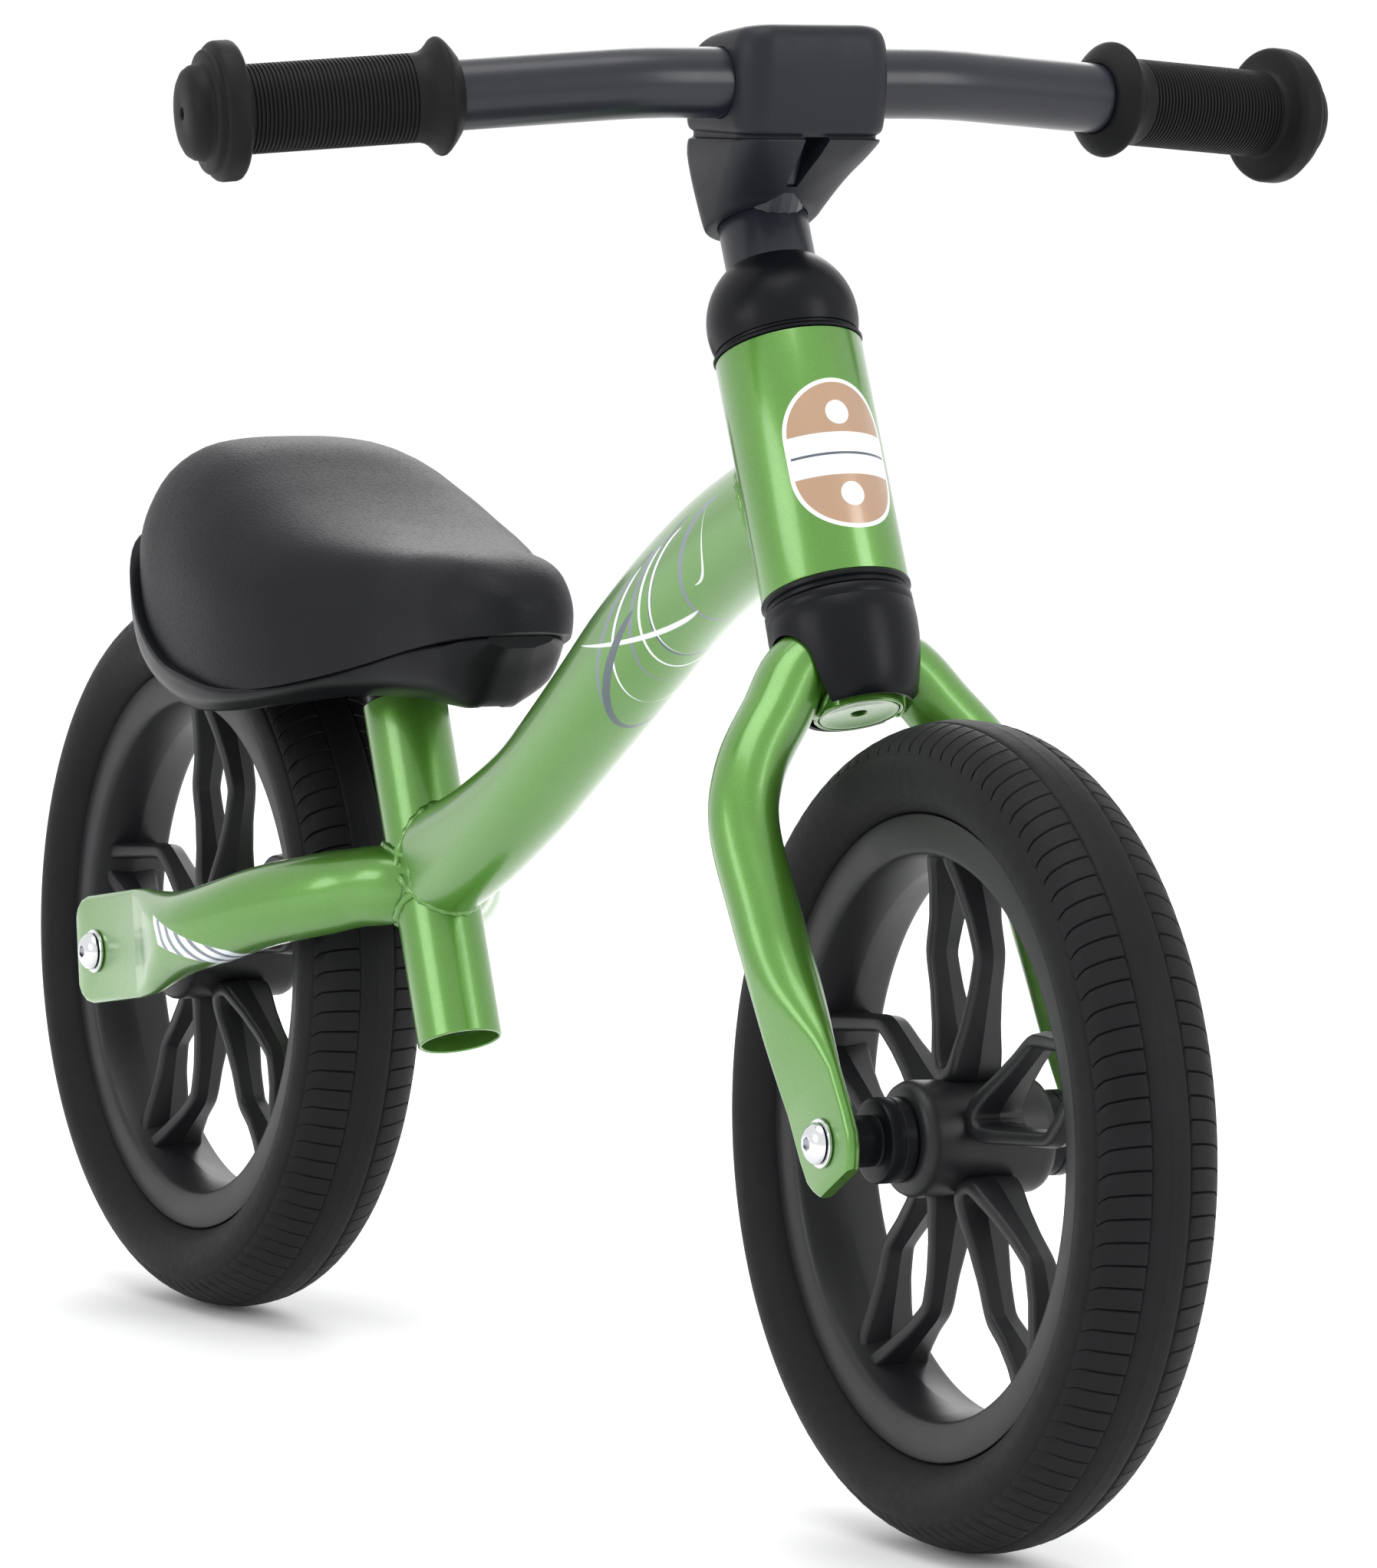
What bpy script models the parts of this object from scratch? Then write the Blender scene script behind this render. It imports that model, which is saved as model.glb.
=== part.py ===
"""Child's balance bike: single-tube steel frame, moulded five-loop wheels, foam tyres,
welded fork, quill stem with a swept bar, foam bar pad, moulded saddle on a sliding post.

Frame of the object: +X forwards, +Y to the rider's left, +Z up, origin on the ground
half way between the two wheel axles.  Lengths are written in millimetres and scaled by MM.
"""
import math

import bmesh
import bpy
from mathutils import Matrix, Vector

MM = 0.001
GAP = 0.3                   # running and assembly gap between neighbouring pieces
ROUND = 20                  # sides of a tube
SMALL_ROUND = 14            # sides of a small turned piece

# wheels
WHEEL_RADIUS = 127.0
HALF_WHEELBASE = 274.0
WHEEL_SIDES = 36
TYRE_HALF_WIDTH = 22.5
TYRE_FOOT_RADIUS = 93.3
RIM_SEAT_RADIUS = 93.0
RIM_FLANGE_RADIUS = 98.6
RIM_HALF_WIDTH = 14.8
RIM_INNER_RADIUS = 83.2
HUB_RADIUS = 18.0
HUB_HALF_LENGTH = 23.0
HUB_BORE_RADIUS = 8.0
BEARING_RADIUS = 11.0
BEARING_WIDTH = 7.0
LOOP_COUNT = 5
LOOP_FIRST_ANGLE = -3.6     # degrees from straight up towards the front
LOOP_THICKNESS = 6.0

# axles
AXLE_RADIUS = 5.0
AXLE_BORE_RADIUS = 3.3
COLLAR_RADIUS = 13.2
SPACER_RADIUS = 7.95
COLLAR_END = 33.0
DROPOUT_INNER = 45.5
DROPOUT_OUTER = 50.0
WASHER_RADIUS = 7.6
WASHER_THICKNESS = 1.2
AXLE_BOLT_HEAD_RADIUS = 6.5
AXLE_BOLT_HEAD_HEIGHT = 3.6
AXLE_BOLT_RADIUS = 3.0
AXLE_BOLT_REACH = 24.0
BOLT_SOCKET_RADIUS = 2.3
BOLT_SOCKET_DEPTH = 2.0

# steering: head tube, headset, fork
HEAD_BOTTOM = (181.0, 285.9)
HEAD_LEAN = 25.5            # degrees the steering axis leans back from vertical
HEAD_LENGTH = 80.7
HEAD_RADIUS = 23.3
HEAD_BORE_RADIUS = 20.6
STEERER_RADIUS = 14.3
STEERER_BORE_RADIUS = 13.0
STEERER_TOP = 96.0
STEERER_BOTTOM = -40.5
DOME_RADIUS = 24.0
DOME_CENTRE = 91.0
DOME_WALL = 2.6
COVER_BOTTOM = -39.5
PLATE_THICKNESS = 4.5

# stem and bar
COLUMN_TOP = 139.0
COLUMN_BORE_RADIUS = 10.4
QUILL_RADIUS = 12.7
QUILL_BOTTOM = 24.0
QUILL_BOLT_RADIUS = 4.0
BAR_RADIUS = 11.1
BAR_BORE_RADIUS = 9.1
BAR_HEIGHT = 157.0
BAR_FORWARD = 37.0
BAR_SWEEP = 0.178           # rearward shift per unit of width outside the bends
BEND_START = 42.0
BEND_END = 64.0
BAR_HALF_LENGTH = 193.0
GRIP_POSITION = 118.4
GRIP_RADIUS = 13.9

# seat
SEAT_TUBE_BOTTOM = (-82.6, 115.1)
SEAT_TUBE_TOP = (-130.3, 225.7)
SEAT_TUBE_RADIUS = 14.3
SEAT_TUBE_BORE_RADIUS = 13.0
POST_RADIUS = 12.7
POST_BORE_RADIUS = 10.9
POST_ABOVE_TUBE = 33.0
POST_ABOVE_TUBE_FOOT = 6.0
SOCKET_RADIUS = 17.0
SOCKET_LOW = 7.0
SOCKET_HIGH = 36.0
SEAT_BOLT_DEPTHS = (14.0, 32.0)

for old in list(bpy.data.objects):
    bpy.data.objects.remove(old, do_unlink=True)

SCENE = bpy.context.scene
BIKE = bpy.data.collections.new("balance_bike")
CUTTERS = bpy.data.collections.new("cutters")
SCENE.collection.children.link(BIKE)
SCENE.collection.children.link(CUTTERS)

STEER = (
    Matrix.Translation(Vector((HEAD_BOTTOM[0], 0.0, HEAD_BOTTOM[1])) * MM)
    @ Matrix.Rotation(math.radians(-HEAD_LEAN), 4, "Y")
)
REAR = Matrix.Translation(Vector((-HALF_WHEELBASE, 0.0, WHEEL_RADIUS)) * MM)
AXLE_IN_STEER = (15.5, -183.4)
FRONT = Matrix.Translation(
    STEER @ (Vector((AXLE_IN_STEER[0], 0.0, AXLE_IN_STEER[1])) * MM)
)
SEAT_LEAN = math.atan2(
    SEAT_TUBE_TOP[0] - SEAT_TUBE_BOTTOM[0], SEAT_TUBE_TOP[1] - SEAT_TUBE_BOTTOM[1]
)
SEAT_TUBE_LENGTH = math.dist(SEAT_TUBE_TOP, SEAT_TUBE_BOTTOM)
SEAT = (
    Matrix.Translation(Vector((SEAT_TUBE_TOP[0], 0.0, SEAT_TUBE_TOP[1])) * MM)
    @ Matrix.Rotation(SEAT_LEAN, 4, "Y")
)

GREEN = (0.13, 0.42, 0.06)
BLACK = (0.02, 0.02, 0.022)
RUBBER = (0.03, 0.03, 0.03)
STEEL = (0.62, 0.62, 0.64)


# ---- shared shaping functions ----
def place(name, shape, colour, metallic=0.0, roughness=0.5, where=None, collection=None):
    """Turn a closed shape into a named object standing at the given place."""
    bmesh.ops.recalc_face_normals(shape, faces=shape.faces)
    mesh = bpy.data.meshes.new(name)
    shape.to_mesh(mesh)
    shape.free()
    piece = bpy.data.objects.new(name, mesh)
    (collection or BIKE).objects.link(piece)
    if where is not None:
        piece.matrix_world = where
    if collection is None:
        material = bpy.data.materials.new(name)
        material.use_nodes = True
        shader = material.node_tree.nodes["Principled BSDF"]
        shader.inputs["Base Color"].default_value = (*colour, 1.0)
        shader.inputs["Metallic"].default_value = metallic
        shader.inputs["Roughness"].default_value = roughness
        mesh.materials.append(material)
    return piece


def cutter(name, shape, where=None):
    """Turn a closed shape into a hidden cutting tool."""
    tool = place(name, shape, BLACK, where=where, collection=CUTTERS)
    tool.hide_render = True
    tool.display_type = "WIRE"
    return tool


def combine(piece, tool, operation="DIFFERENCE"):
    step = piece.modifiers.new(tool.name, "BOOLEAN")
    step.operation = operation
    step.solver = "EXACT"
    step.object = tool


def loft(rings, endless=False):
    """Skin a row of equal rings; the ends are capped unless the row closes on itself."""
    shape = bmesh.new()
    rows = [[shape.verts.new(point * MM) for point in ring] for ring in rings]
    count = len(rows[0])
    pairs = list(zip(rows, rows[1:]))
    if endless:
        pairs.append((rows[-1], rows[0]))
    for low, high in pairs:
        for index in range(count):
            after = (index + 1) % count
            shape.faces.new((low[index], low[after], high[after], high[index]))
    if not endless:
        shape.faces.new(rows[0])
        shape.faces.new(rows[-1])
    return shape


def outline(tall, wide, corner, count):
    """Rounded rectangle as count points; a full corner radius makes it a circle."""
    each = count // 4
    points = []
    for quarter in range(4):
        turn = math.radians(90 * quarter)
        across = (1, -1, -1, 1)[quarter] * (tall / 2 - corner)
        along = (1, 1, -1, -1)[quarter] * (wide / 2 - corner)
        for index in range(each):
            angle = turn + math.radians(90) * (index + 0.5) / each
            points.append(
                (across + corner * math.cos(angle), along + corner * math.sin(angle))
            )
    return points


def tube_rings(stations, reference, shrink=0.0, count=ROUND):
    """Rings round a path.  A station is (x, y, z, tall, wide); tall lies along reference."""
    rings = []
    for index, station in enumerate(stations):
        here = Vector(station[:3])
        before = Vector(stations[max(index - 1, 0)][:3])
        after = Vector(stations[min(index + 1, len(stations) - 1)][:3])
        ahead = (after - before).normalized()
        side = ahead.cross(reference).normalized()
        rise = side.cross(ahead)
        tall = station[3] - 2 * shrink
        wide = station[4] - 2 * shrink
        corner = min(tall, wide) / 2
        rings.append(
            [here + rise * u + side * v for u, v in outline(tall, wide, corner, count)]
        )
    return rings


def tube(stations, reference, wall, count=ROUND):
    """Hollow tube, open at both ends."""
    outside = tube_rings(stations, reference, 0.0, count)
    inside = tube_rings(stations, reference, wall, count)
    return loft(outside + inside[::-1], endless=True)


def turned(profile, count=SMALL_ROUND, hollow=True, axis="Z"):
    """Turn a profile of (radius, height) pairs about the piece's own axis."""
    rings = []
    for radius, height in profile:
        ring = []
        for index in range(count):
            angle = 2 * math.pi * index / count
            across = radius * math.sin(angle)
            along = radius * math.cos(angle)
            if axis == "Z":
                ring.append(Vector((across, along, height)))
            else:
                ring.append(Vector((across, height, along)))
        rings.append(ring)
    return loft(rings, endless=hollow)


def plain_ring(inner, outer, low, high):
    return [(inner, low), (outer, low), (outer, high), (inner, high)]


def rod(radius, low, high, count=SMALL_ROUND, axis="Z"):
    return turned([(radius, low), (radius, high)], count, False, axis)


def block(low, high):
    """Box between two corners."""
    shape = bmesh.new()
    bmesh.ops.create_cube(shape, size=MM)
    size = Vector(high) - Vector(low)
    middle = (Vector(high) + Vector(low)) * 0.5 * MM
    bmesh.ops.scale(shape, vec=size, verts=shape.verts)
    bmesh.ops.translate(shape, vec=middle, verts=shape.verts)
    return shape


UP = Vector((0.0, 0.0, 1.0))
FORWARD = Vector((1.0, 0.0, 0.0))
SIDES = (("left", 1.0), ("right", -1.0))


# ---- frame: head tube, main tube, seat tube, two stays ----
place(
    "head_tube",
    turned(plain_ring(HEAD_BORE_RADIUS, HEAD_RADIUS, 0.0, HEAD_LENGTH), ROUND),
    GREEN, 0.6, 0.3, STEER,
)
head_tool = cutter(
    "head_tool", rod(HEAD_RADIUS + GAP, -60.0, HEAD_LENGTH + 60.0, 24), STEER
)
seat_tool = cutter(
    "seat_tool", rod(SEAT_TUBE_RADIUS + GAP, -SEAT_TUBE_LENGTH - 40.0, 40.0, 24), SEAT
)

MAIN_TUBE = (
    (164.0, 0.0, 318.0, 38.0, 38.0),
    (116.0, 0.0, 298.7, 38.0, 38.0),
    (78.5, 0.0, 279.4, 37.0, 37.0),
    (48.0, 0.0, 259.4, 37.0, 36.0),
    (19.0, 0.0, 238.9, 35.0, 34.5),
    (-14.0, 0.0, 216.2, 33.0, 33.0),
    (-34.0, 0.0, 203.6, 33.5, 32.0),
    (-63.0, 0.0, 188.6, 36.0, 30.0),
    (-85.0, 0.0, 179.0, 38.0, 28.2),
    (-104.5, 0.0, 171.5, 38.0, 27.4),
)
main_tube = place(
    "main_tube", tube(MAIN_TUBE, UP, 1.8), GREEN, 0.6, 0.3
)
combine(main_tube, head_tool)
combine(main_tube, seat_tool)

seat_tube = place(
    "seat_tube",
    turned(plain_ring(SEAT_TUBE_BORE_RADIUS, SEAT_TUBE_RADIUS, -SEAT_TUBE_LENGTH, 0.0), ROUND),
    GREEN, 0.6, 0.3, SEAT,
)
BACKWARDS = Matrix.Rotation(math.radians(-90), 4, "Y")
BOSS_TOP = 18.4
BOSS_RADIUS = 7.0
SEAT_BOLT_RADIUS = 3.0
SEAT_BOLT_HEAD_RADIUS = 5.4
SEAT_BOLT_HEAD_HEIGHT = 3.4
for depth, level in zip(SEAT_BOLT_DEPTHS, ("upper", "lower")):
    spot = SEAT @ Matrix.Translation(Vector((0.0, 0.0, -depth)) * MM) @ BACKWARDS
    boss = cutter("seat_boss_" + level, rod(BOSS_RADIUS, 13.5, BOSS_TOP), spot)
    combine(seat_tube, boss, "UNION")
    hole = cutter(
        "seat_bolt_hole_" + level, rod(SEAT_BOLT_RADIUS + GAP, 8.0, BOSS_TOP + 4.0), spot
    )
    combine(seat_tube, hole)
    head_low = BOSS_TOP + GAP
    head_high = head_low + SEAT_BOLT_HEAD_HEIGHT
    place(
        "seat_bolt_" + level,
        turned(
            [
                (SEAT_BOLT_RADIUS, POST_RADIUS + GAP + 0.1),
                (SEAT_BOLT_RADIUS, head_low),
                (SEAT_BOLT_HEAD_RADIUS, head_low),
                (SEAT_BOLT_HEAD_RADIUS, head_high - 1.5),
                (SEAT_BOLT_HEAD_RADIUS - 1.8, head_high),
                (BOLT_SOCKET_RADIUS, head_high),
                (BOLT_SOCKET_RADIUS, head_high - BOLT_SOCKET_DEPTH),
            ],
            hollow=False,
        ),
        STEEL, 1.0, 0.25, spot,
    )

STAY = (
    (-103.5, 3.0, 167.2, 18.0, 16.0),
    (-113.0, 11.6, 165.6, 26.5, 23.5),
    (-126.0, 19.0, 163.3, 27.0, 26.0),
    (-138.0, 26.0, 160.2, 28.0, 28.0),
    (-162.0, 37.2, 153.7, 28.0, 28.0),
    (-186.0, 44.2, 145.6, 28.0, 27.0),
    (-204.0, 46.6, 141.0, 28.5, 24.0),
    (-218.0, 47.5, 137.8, 32.0, 17.0),
    (-231.0, 47.75, 135.0, 36.5, 9.0),
    (-241.0, 47.75, 133.2, 38.0, PLATE_THICKNESS),
)
STAY_END = (
    (-284.0, 47.75, 126.2, 38.0, PLATE_THICKNESS),
    (-288.0, 47.75, 125.6, 33.0, PLATE_THICKNESS),
    (-290.5, 47.75, 125.2, 25.0, PLATE_THICKNESS),
)


def on_side(rings, sign):
    """Rings of a piece on the left, or the same rings seen in the middle plane."""
    return [[Vector((point.x, sign * point.y, point.z)) for point in ring] for ring in rings]


stay_hollow = [(-95.0, -1.0, 168.0, 12.0, 10.0)]
stay_hollow += [(x, y, z, tall - 3.2, wide - 3.2) for x, y, z, tall, wide in STAY if wide > 15.0]
for side, sign in SIDES:
    stay = place(
        "stay_" + side, loft(on_side(tube_rings(STAY + STAY_END, UP, 0.0, 16), sign)),
        GREEN, 0.6, 0.3,
    )
    tool = loft(on_side(tube_rings(stay_hollow, UP, 0.0, 12), sign))
    combine(stay, cutter("stay_hollow_" + side, tool))
    combine(stay, seat_tool)
    half = cutter(
        "stay_half_" + side,
        block((-170.0, min(-60.0 * sign, GAP / 2 * sign), 130.0),
              (-90.0, max(-60.0 * sign, GAP / 2 * sign), 200.0)),
    )
    combine(stay, half)
    hole = cutter(
        "stay_bolt_hole_" + side,
        rod(AXLE_BOLT_RADIUS + GAP, min(sign * 40.0, sign * 56.0),
            max(sign * 40.0, sign * 56.0), axis="Y"),
        REAR,
    )
    combine(stay, hole)


# ---- fork: steerer, crown plug, two blades ----
place(
    "steerer_tube",
    turned(plain_ring(STEERER_BORE_RADIUS, STEERER_RADIUS, STEERER_BOTTOM, STEERER_TOP), ROUND),
    GREEN, 0.6, 0.3, STEER,
)
place(
    "crown_plug",
    turned(plain_ring(2.5, STEERER_BORE_RADIUS - GAP, STEERER_BOTTOM + 0.8, STEERER_BOTTOM + 8.0),
           ROUND),
    GREEN, 0.3, 0.5, STEER,
)
steerer_tool = cutter(
    "steerer_tool", rod(STEERER_RADIUS + GAP, -70.0, STEERER_TOP, 24), STEER
)
BLADE = (
    (0.0, 6.0, -14.0, 21.0, 20.0),
    (0.0, 19.0, -22.0, 22.0, 22.0),
    (0.0, 29.0, -37.0, 22.0, 22.0),
    (0.0, 38.0, -50.0, 22.0, 22.0),
    (0.0, 43.2, -60.5, 22.0, 22.0),
    (0.0, 46.6, -71.0, 22.0, 22.0),
    (0.7, 47.9, -83.0, 22.0, 22.0),
    (6.0, 48.0, -119.0, 22.0, 22.0),
    (8.0, 48.0, -132.0, 24.5, 19.5),
    (9.5, 47.9, -144.0, 29.0, 14.5),
    (11.0, 47.8, -155.0, 32.5, 9.0),
    (12.6, 47.75, -166.0, 34.0, PLATE_THICKNESS),
)
BLADE_END = (
    (15.7, 47.75, -185.0, 34.5, PLATE_THICKNESS),
    (16.9, 47.75, -193.5, 32.0, PLATE_THICKNESS),
    (17.4, 47.75, -197.0, 23.0, PLATE_THICKNESS),
)
blade_tools = []
for side, sign in SIDES:
    stations = [
        (x, sign * y, z, tall, wide)
        for x, y, z, tall, wide in BLADE + BLADE_END
    ]
    blade = place(
        "fork_blade_" + side, loft(tube_rings(stations, FORWARD, 0.0, 16)),
        GREEN, 0.6, 0.3, STEER,
    )
    hollow = [
        (x, y, z, tall - 3.2, wide - 3.2) for x, y, z, tall, wide in stations if wide > 14.0
    ]
    hollow.insert(0, (0.0, sign * -4.0, -8.0, 12.0, 12.0))
    tool = cutter("blade_hollow_" + side, loft(tube_rings(hollow, FORWARD, 0.0, 12)), STEER)
    combine(blade, tool)
    combine(blade, steerer_tool)
    hole = cutter(
        "blade_bolt_hole_" + side,
        rod(AXLE_BOLT_RADIUS + GAP, min(sign * 40.0, sign * 56.0),
            max(sign * 40.0, sign * 56.0), axis="Y"),
        FRONT,
    )
    combine(blade, hole)
    wide_stations = [
        (x, y, z, tall + 1.6, wide + 1.6) for x, y, z, tall, wide in stations[:6]
    ]
    blade_tools.append(
        cutter("cover_mouth_" + side, loft(tube_rings(wide_stations, FORWARD, 0.0, 16)), STEER)
    )
    below = [(0.0, sign * 20.0, -21.0, 23.6, 22.0), (0.0, sign * 21.0, -60.0, 25.0, 22.0)]
    blade_tools.append(
        cutter("cover_slot_" + side, loft(tube_rings(below, FORWARD, 0.0, 16)), STEER)
    )

# ---- headset ----
BEARING_HEIGHT = 7.0
for level, low in (("upper", HEAD_LENGTH - GAP - BEARING_HEIGHT), ("lower", GAP)):
    place(
        "headset_bearing_" + level,
        turned(
            plain_ring(STEERER_RADIUS + GAP, HEAD_BORE_RADIUS - GAP, low, low + BEARING_HEIGHT),
            ROUND,
        ),
        STEEL, 1.0, 0.3, STEER,
    )
RING_LOW = HEAD_LENGTH + GAP
place(
    "headset_ring_upper",
    turned(plain_ring(STEERER_RADIUS + GAP, HEAD_RADIUS + 0.5, RING_LOW, RING_LOW + 1.1), ROUND),
    BLACK, 0.0, 0.35, STEER,
)
DOME_LOW = RING_LOW + 1.1 + GAP
dome_outside = []
dome_inside = []
DOME_OPENING = STEERER_RADIUS + 0.4
DOME_STEPS = 5
low_angle = math.asin((DOME_LOW - DOME_CENTRE) / DOME_RADIUS)
high_angle = math.acos(DOME_OPENING / DOME_RADIUS)
inner_radius = DOME_RADIUS - DOME_WALL
inner_low = math.asin((DOME_LOW - DOME_CENTRE) / inner_radius)
inner_high = math.acos(DOME_OPENING / inner_radius)
for step in range(DOME_STEPS + 1):
    part_way = step / DOME_STEPS
    angle = low_angle + (high_angle - low_angle) * part_way
    dome_outside.append(
        (DOME_RADIUS * math.cos(angle), DOME_CENTRE + DOME_RADIUS * math.sin(angle))
    )
    angle = inner_low + (inner_high - inner_low) * part_way
    dome_inside.append(
        (inner_radius * math.cos(angle), DOME_CENTRE + inner_radius * math.sin(angle))
    )
place("headset_dome", turned(dome_outside + dome_inside[::-1], ROUND), BLACK, 0.0, 0.3, STEER)
place(
    "headset_nut",
    turned(plain_ring(STEERER_RADIUS + GAP, 18.8, DOME_LOW + 0.2, DOME_LOW + 9.0), ROUND),
    STEEL, 1.0, 0.3, STEER,
)
place(
    "headset_ring_lower",
    turned(
        [
            (STEERER_RADIUS + GAP, -3.7), (22.4, -3.7), (22.4, -2.2), (23.7, -1.8),
            (23.7, -GAP), (STEERER_RADIUS + GAP, -GAP),
        ],
        ROUND,
    ),
    BLACK, 0.0, 0.35, STEER,
)
cover = place(
    "crown_cover",
    turned(
        [
            (STEERER_RADIUS + GAP, -4.0), (22.2, -4.0), (23.3, -5.2), (23.5, -13.0),
            (22.8, -22.0), (21.4, -30.0), (19.4, -36.5), (17.4, COVER_BOTTOM),
            (16.0, COVER_BOTTOM), (18.6, -30.0), (20.6, -19.0), (20.8, -7.0),
            (STEERER_RADIUS + GAP, -7.0),
        ],
        ROUND,
    ),
    BLACK, 0.0, 0.4, STEER,
)
for tool in blade_tools:
    combine(cover, tool)


# ---- wheels: moulded wheel, foam tyre, bearings; axle, spacers, washers and bolts ----
TYRE_PROFILE = (
    (TYRE_FOOT_RADIUS, 10.6), (98.8, 13.4), (100.5, 17.0), (104.6, 20.8),
    (110.0, TYRE_HALF_WIDTH), (116.6, 21.0), (122.4, 15.4), (125.9, 8.2),
)
RIM_PROFILE = (
    (RIM_SEAT_RADIUS, 10.9), (RIM_FLANGE_RADIUS, 13.7), (RIM_FLANGE_RADIUS, RIM_HALF_WIDTH),
    (87.0, 13.8), (RIM_INNER_RADIUS, 4.0),
)
HUB_PROFILE = (
    (HUB_BORE_RADIUS, 15.2), (BEARING_RADIUS + GAP, 15.2), (BEARING_RADIUS + GAP, HUB_HALF_LENGTH),
    (14.6, HUB_HALF_LENGTH), (17.0, 21.6), (HUB_RADIUS, 19.0),
)
# half of one spoke loop's centre line: (radius, distance from its own middle)
LOOP_LINE = (
    (21.6, 5.0), (36.0, 9.4), (51.0, 13.9), (55.0, 14.6), (59.0, 13.6), (79.0, 6.6),
    (84.6, 4.4),
)
LOOP_FOOT_RADIUS = 18.2
LOOP_HEAD_RADIUS = 87.5
LOOP_DEPTHS = ((18.0, 9.0), (27.0, 8.0), (33.0, 6.5), (45.0, 5.0), (65.0, 5.0), (84.0, 9.0))
LOOP_CORNER = 2.2


def mirrored(profile):
    return list(profile) + [(radius, -height) for radius, height in profile[::-1]]


def loop_depth(radius):
    """Half depth of a spoke leg, waisted half way out."""
    for (near, first), (far, second) in zip(LOOP_DEPTHS, LOOP_DEPTHS[1:]):
        if near <= radius <= far:
            return first + (second - first) * (radius - near) / (far - near)
    return LOOP_DEPTHS[-1][1]


def spoke_loop(angle):
    """One endless leg running out from the hub, round inside the rim and back."""
    outwards = Vector((math.sin(angle), 0.0, math.cos(angle)))
    across = Vector((math.cos(angle), 0.0, -math.sin(angle)))
    line = [(LOOP_FOOT_RADIUS, 0.0)]
    line += list(LOOP_LINE)
    line += [(LOOP_HEAD_RADIUS, 0.0)]
    line += [(radius, -half) for radius, half in LOOP_LINE[::-1]]
    rings = []
    for index, (radius, half) in enumerate(line):
        here = outwards * radius + across * half
        before = line[index - 1]
        after = line[(index + 1) % len(line)]
        ahead = outwards * (after[0] - before[0]) + across * (after[1] - before[1])
        ahead.normalize()
        side = ahead.cross(Vector((0.0, 1.0, 0.0)))
        section = outline(LOOP_THICKNESS, 2 * loop_depth(radius), LOOP_CORNER, 8)
        rings.append([here + side * u + Vector((0.0, v, 0.0)) for u, v in section])
    return loft(rings, endless=True)


def build_wheel(end, where):
    tyre_profile = list(TYRE_PROFILE) + [(WHEEL_RADIUS, 0.0)]
    tyre_profile += [(radius, -height) for radius, height in TYRE_PROFILE[::-1]]
    place(
        end + "_tyre", turned(tyre_profile, WHEEL_SIDES, axis="Y"), RUBBER, 0.0, 0.75, where
    )
    wheel = place(
        end + "_wheel", turned(mirrored(RIM_PROFILE), WHEEL_SIDES, axis="Y"),
        BLACK, 0.0, 0.45, where,
    )
    hub = cutter(
        end + "_hub", turned(mirrored(HUB_PROFILE), ROUND, axis="Y"), where
    )
    combine(wheel, hub, "UNION")
    for number in range(LOOP_COUNT):
        angle = math.radians(LOOP_FIRST_ANGLE + 360.0 / LOOP_COUNT * number)
        loop = cutter(end + "_loop_" + str(number), spoke_loop(angle), where)
        combine(wheel, loop, "UNION")
    clearing = cutter(
        end + "_hub_clearing", rod(HUB_BORE_RADIUS, -15.2, 15.2, axis="Y"), where
    )
    combine(wheel, clearing)
    place(
        end + "_axle",
        turned(plain_ring(AXLE_BORE_RADIUS, AXLE_RADIUS, -DROPOUT_INNER + GAP,
                          DROPOUT_INNER - GAP), axis="Y"),
        STEEL, 1.0, 0.3, where,
    )
    for side, sign in SIDES:
        bearing = plain_ring(
            AXLE_RADIUS + GAP, BEARING_RADIUS, sign * 15.5, sign * (15.5 + BEARING_WIDTH)
        )
        place(end + "_bearing_" + side, turned(bearing, axis="Y"), STEEL, 1.0, 0.3, where)
        collar = [
            (AXLE_RADIUS + GAP, HUB_HALF_LENGTH + GAP), (COLLAR_RADIUS, HUB_HALF_LENGTH + GAP),
            (COLLAR_RADIUS, COLLAR_END - 1.0), (COLLAR_RADIUS - 1.2, COLLAR_END),
            (SPACER_RADIUS, COLLAR_END), (SPACER_RADIUS, DROPOUT_INNER - GAP),
            (AXLE_RADIUS + GAP, DROPOUT_INNER - GAP),
        ]
        collar = [(radius, sign * height) for radius, height in collar]
        place(end + "_spacer_" + side, turned(collar, axis="Y"), BLACK, 0.0, 0.4, where)
        low = DROPOUT_OUTER + GAP
        high = low + WASHER_THICKNESS
        washer = plain_ring(AXLE_BOLT_RADIUS + GAP, WASHER_RADIUS, sign * low, sign * high)
        place(end + "_washer_" + side, turned(washer, axis="Y"), STEEL, 1.0, 0.25, where)
        base = high + GAP
        top = base + AXLE_BOLT_HEAD_HEIGHT
        bolt = [
            (AXLE_BOLT_RADIUS, AXLE_BOLT_REACH), (AXLE_BOLT_RADIUS, base),
            (AXLE_BOLT_HEAD_RADIUS, base), (AXLE_BOLT_HEAD_RADIUS - 0.7, base + 1.6),
            (AXLE_BOLT_HEAD_RADIUS - 2.4, top - 0.5), (BOLT_SOCKET_RADIUS + 0.4, top),
            (BOLT_SOCKET_RADIUS, top - 0.2), (BOLT_SOCKET_RADIUS, top - BOLT_SOCKET_DEPTH),
        ]
        bolt = [(radius, sign * height) for radius, height in bolt]
        place(
            end + "_bolt_" + side, turned(bolt, hollow=False, axis="Y"),
            STEEL, 1.0, 0.2, where,
        )


build_wheel("front", FRONT)
build_wheel("rear", REAR)


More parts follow.
